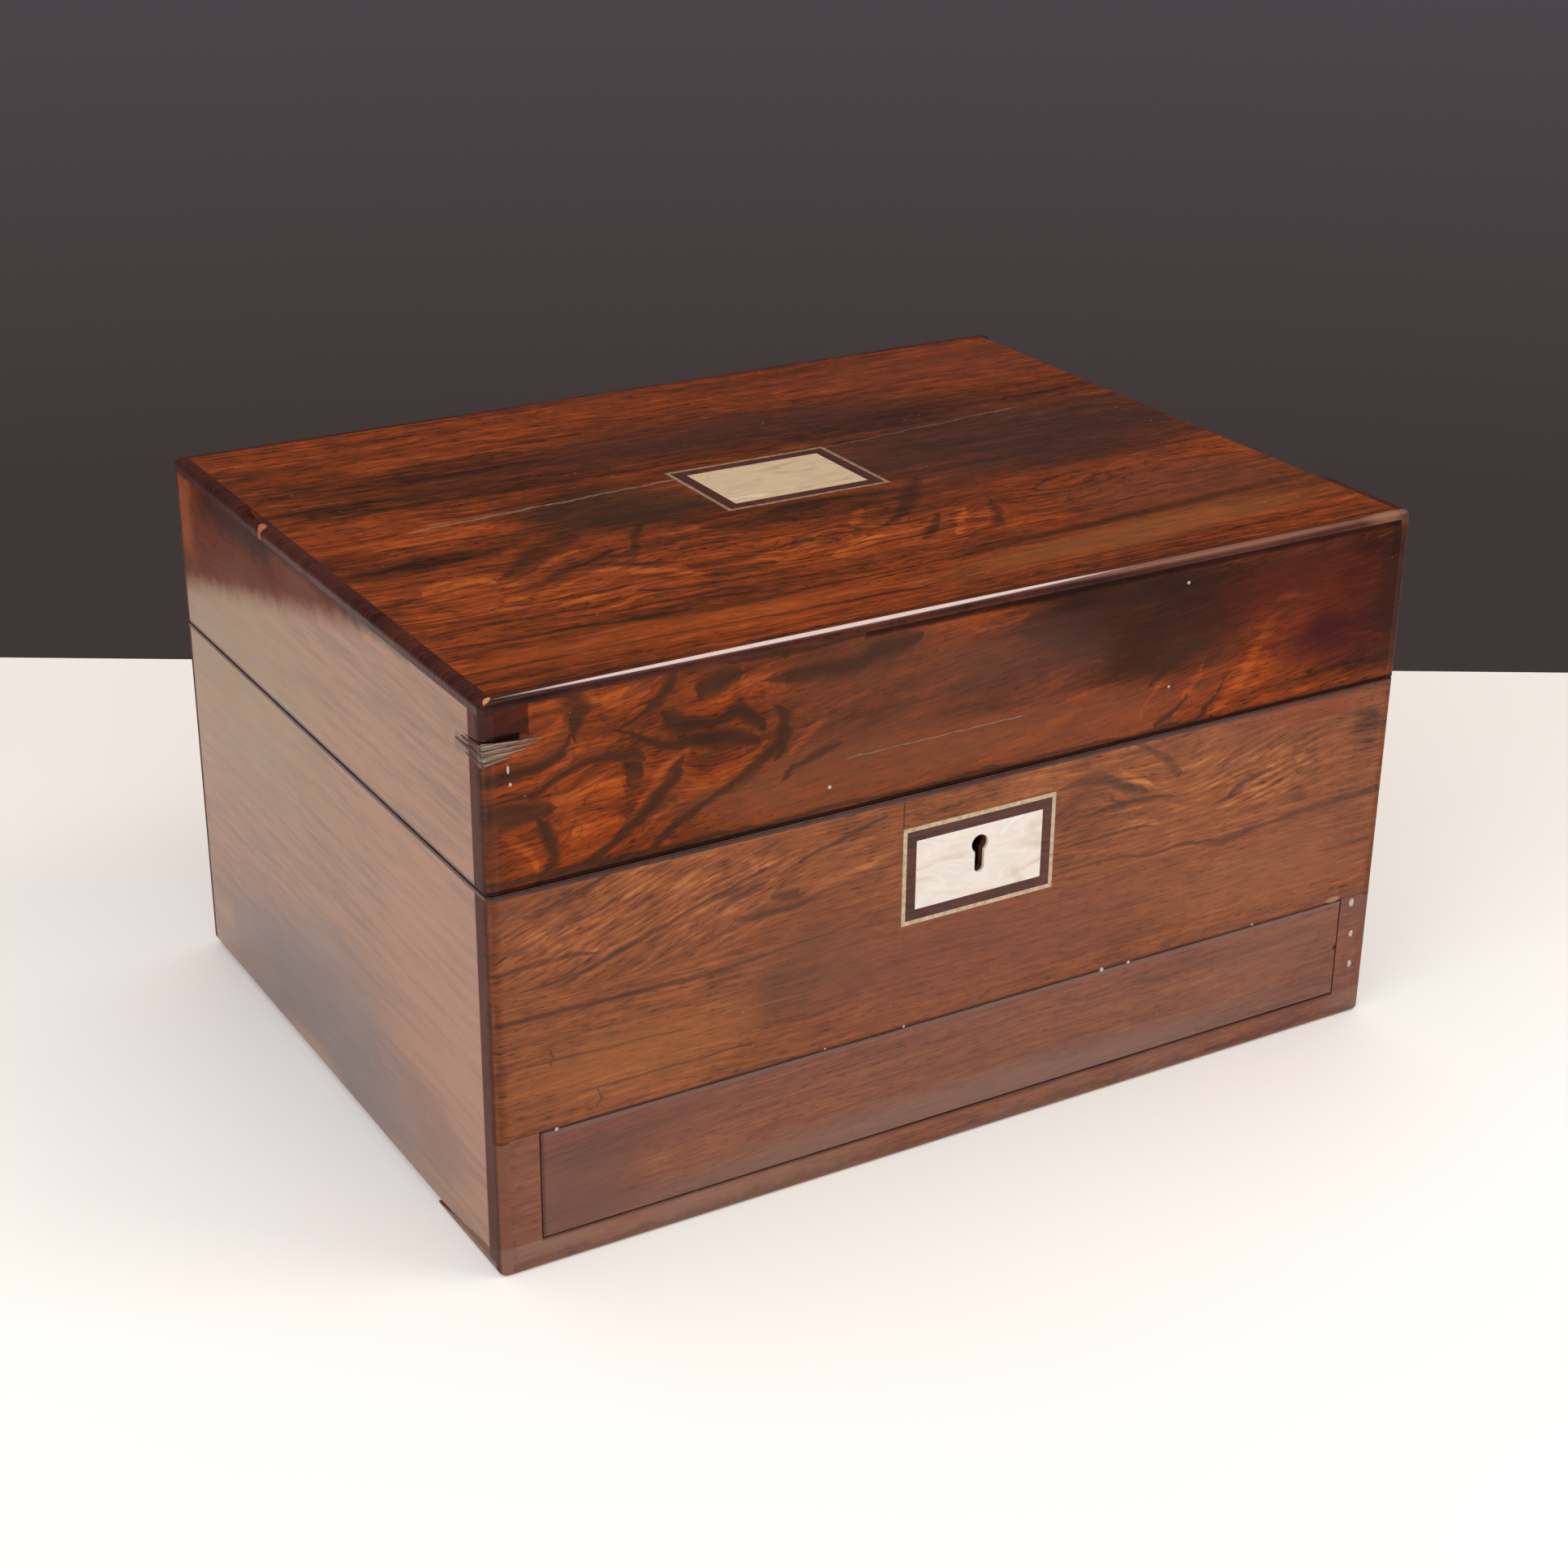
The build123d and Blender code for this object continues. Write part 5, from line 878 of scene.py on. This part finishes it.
# White paint drips and grit on the front: place along and up, size, and how much taller than wide
paintSpecks = {
    "face": -113.45,
    "case": [(46.4, 42.6, 0.75, 1.0), (56.4, 42.5, 0.6, 1.0), (-134.9, 42.4, 0.6, 1.0),
             (144.5, 40.5, 1.0, 1.5), (145.6, 29.2, 0.85, 1.4), (146.3, 18.2, 0.85, 1.5),
             (-50.5, 43.0, 0.35, 1.0), (104.0, 43.1, 0.4, 1.0), (-24.0, 42.9, 0.45, 1.0)],
    "lid": [(-50.5, 124.5, 0.6, 1.0), (68.9, 161.8, 0.55, 1.0), (64.3, 130.7, 0.45, 1.0),
            (-145.4, 150.6, 0.38, 3.4), (-144.9, 146.4, 0.45, 1.2)],
}


def roughened(amount, seed):  # works on the new primitive, which is still the active object
    bpy.ops.object.mode_set(mode="EDIT")
    bpy.ops.mesh.select_all(action="SELECT")
    if amount > 0.1:
        bpy.ops.mesh.subdivide(number_cuts=3)
    bpy.ops.transform.vertex_random(offset=amount * mm, seed=seed)
    bpy.ops.object.mode_set(mode="OBJECT")
    bpy.ops.object.transform_apply(location=True, rotation=True, scale=True)
    return bpy.context.object


def joined(made, name, material, body):
    bpy.ops.object.select_all(action="DESELECT")
    for piece in made:
        piece.select_set(True)
    bpy.context.view_layer.objects.active = made[0]
    bpy.ops.object.join()
    whole = bpy.context.object
    whole.name = whole.data.name = name
    whole.data.materials.append(material)
    bpy.ops.object.shade_smooth_by_angle(angle=math.radians(50))
    bpy.ops.object.select_all(action="DESELECT")
    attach(whole, body)


# Raw rosewood: torn fibre, dusty and dull on the front, still plum and polished where it belongs to the side
def rawWood(name, look):
    material, add, shader, inMm = newMaterial(name)
    lengthened = add("Mapping", {"Vector": inMm, "Scale": (0.14, 0.14, 2.6)})
    strands = add("TexNoise", {"Vector": lengthened, "Scale": 1.0, "Detail": 4.0, "Roughness": 0.65})
    onSide = add("MapRange", add("SeparateXYZ", inMm).outputs["Y"], -113.2, -111.5, 0, 0.85)
    colour = tinted(add, shadeRamp(add, strands, (look["dark"], look["light"]), 0.36, 0.62), onSide,
                    look["plum"])
    feed(shader,
         {"Base Color": colour, "Roughness": 0.8, "Normal": bumped(add, strands, 0.8, 0.3),
          "Specular IOR Level": 0.2})
    return material


# Dried emulsion paint: chalky white, dirty at its edges
def paint(name, look):
    material, add, shader, inMm = newMaterial(name)
    dirt = add("TexNoise", {"Vector": inMm, "Scale": 1.6, "Detail": 5.0})
    feed(shader,
         {"Base Color": shadeRamp(add, dirt, (look["dirty"], look["clean"])), "Roughness": 0.6,
          "Normal": bumped(add, dirt, 0.5, 0.1)})
    return material


made = []
for number, tongue in enumerate(splitCorner["tongues"]):
    start, end = Vector(tongue["from"]) * mm, Vector(tongue["to"]) * mm
    lengthwise = (end - start).normalized()
    outward = Vector((0, -1, 0)) if abs(lengthwise.x) > 0.5 else Vector((-1, 0, 0))
    crosswise = outward.cross(lengthwise).normalized()
    outward = lengthwise.cross(crosswise)
    turned = Matrix((crosswise, outward, lengthwise)).transposed().to_euler()
    size = (tongue["wide"] * mm, tongue["thick"] * mm, (end - start).length)
    bpy.ops.mesh.primitive_cone_add(vertices=8, radius1=0.5, radius2=0.07, depth=1.0, scale=size,
                                    location=(start + end) / 2, rotation=turned)
    made.append(roughened(splitCorner["shake"], number))
tornWood = rawWood("rawRosewood", {"plum": "#5d423a", "dark": "#54402f", "light": "#a39080"})
joined(made, "lidCornerSplinters", tornWood, "lid")
driedPaint = paint("driedPaint", {"dirty": "#a08c7c", "clean": "#ddd3cb"})
for body in ("case", "lid"):
    made = []
    for number, (x, z, size, tall) in enumerate(paintSpecks[body]):
        bpy.ops.mesh.primitive_ico_sphere_add(subdivisions=2, radius=size * mm, scale=(1.0, 0.4, tall),
                                              location=(x * mm, paintSpecks["face"] * mm, z * mm))
        made.append(roughened(size * 0.09, number))
    joined(made, body + "PaintSpecks", driedPaint, body)
print("splinters and paint specks done")


# 1 where the camera, a reflection or clear glass looks, 0 for the light that falls on things
def lookedAt(add):
    rays = add("LightPath").outputs
    seen = add("Math MAXIMUM", rays["Is Camera Ray"], rays["Is Glossy Ray"])
    return add("Math MAXIMUM", seen, rays["Is Transmission Ray"])


# Table: pale cream laminate, its back edge square to the camera, the light on it failing toward the wall.
# The paleness comes from a glow that only the eye and reflections see, so that the lamps stay plain.
# Its sizes are in metres, the two ends of the glow in mm.
table = {"back": 0.272, "front": 2.6, "half": 2.6, "dark": "#ece5de", "light": "#f3eeea",
         "glowFar": "#26170f", "glowNear": "#797c7c", "glowFrom": 250, "glowTo": -200}
forward = Vector((-away.x, -away.y, 0)).normalized()
sideways = Vector((forward.y, -forward.x, 0))
bpy.ops.mesh.primitive_plane_add(size=1)
floor = bpy.context.object
floor.name = "tableTop"
floor.data.transform(Matrix.Diagonal((2 * table["half"], table["back"] + table["front"], 1, 1)))
floor.data.transform(Matrix.Translation((0, (table["back"] - table["front"]) / 2, 0)))
floor.data.transform(Matrix((sideways, forward, Vector((0, 0, 1)))).transposed().to_4x4())
material, add, shader, inMm = newMaterial("tableLaminate")
cloudy = add("TexNoise", {"Vector": inMm, "Scale": 0.003, "Detail": 4.0})
depth = add("VectorMath DOT_PRODUCT", inMm, forward + sideways * -0.12).outputs["Value"]
depth = add("MapRange SMOOTHSTEP", depth, table["glowFrom"], table["glowTo"])
feed(shader,
     {"Base Color": shadeRamp(add, cloudy, (table["dark"], table["light"])), "Roughness": 0.6,
      "Emission Color": tinted(add, linear(table["glowFar"]), depth, table["glowNear"]),
      "Emission Strength": lookedAt(add)})
floor.data.materials.append(material)

wall = {"high": "#4c464a", "low": "#403836", "fill": "#fffdfb", "fillStrength": 0.9}
world = bpy.data.worlds.new("studio")
bpy.context.scene.world = world
world.use_nodes = True
world.node_tree.nodes.clear()
add = partial(put, world.node_tree)
rise = add("SeparateXYZ", add("TexCoord").outputs["Generated"]).outputs["Z"]
rise = add("MapRange", rise, -0.3, -0.14)
shade = tinted(add, linear(wall["low"]), rise, wall["high"])
fill = add("Background", {"Color": linear(wall["fill"]), "Strength": wall["fillStrength"]})
charcoal = add("Background", {"Color": shade, "Strength": 1.0})
mixed = add("MixShader", lookedAt(add), fill, charcoal)
add("OutputWorld", {"Surface": mixed})

lamps = [
    {"name": "softboxKey", "from": (1.17, -0.975, 1.95), "size": (0.91, 0.585), "power": 11.0,
     "shade": "#fffaf5"},
    {"name": "softboxLeft", "from": (-1.5, -0.6, 1.3), "size": (1.2, 1.2), "power": 7.0,
     "shade": "#fcfaff"},
]
for lamp in lamps:
    bpy.ops.object.light_add(type="AREA", location=lamp["from"])
    light = bpy.context.object
    light.name = lamp["name"]
    light.data.shape = "RECTANGLE"
    light.data.size, light.data.size_y = lamp["size"]
    light.data.energy = lamp["power"]
    light.data.color = linear(lamp["shade"])[:3]
    light.rotation_euler = (Vector((0, 0, 0.08)) - Vector(lamp["from"])).to_track_quat("-Z", "Y").to_euler()
print("table, wall and lamps done")

bpy.context.scene.view_settings.view_transform = "Standard"
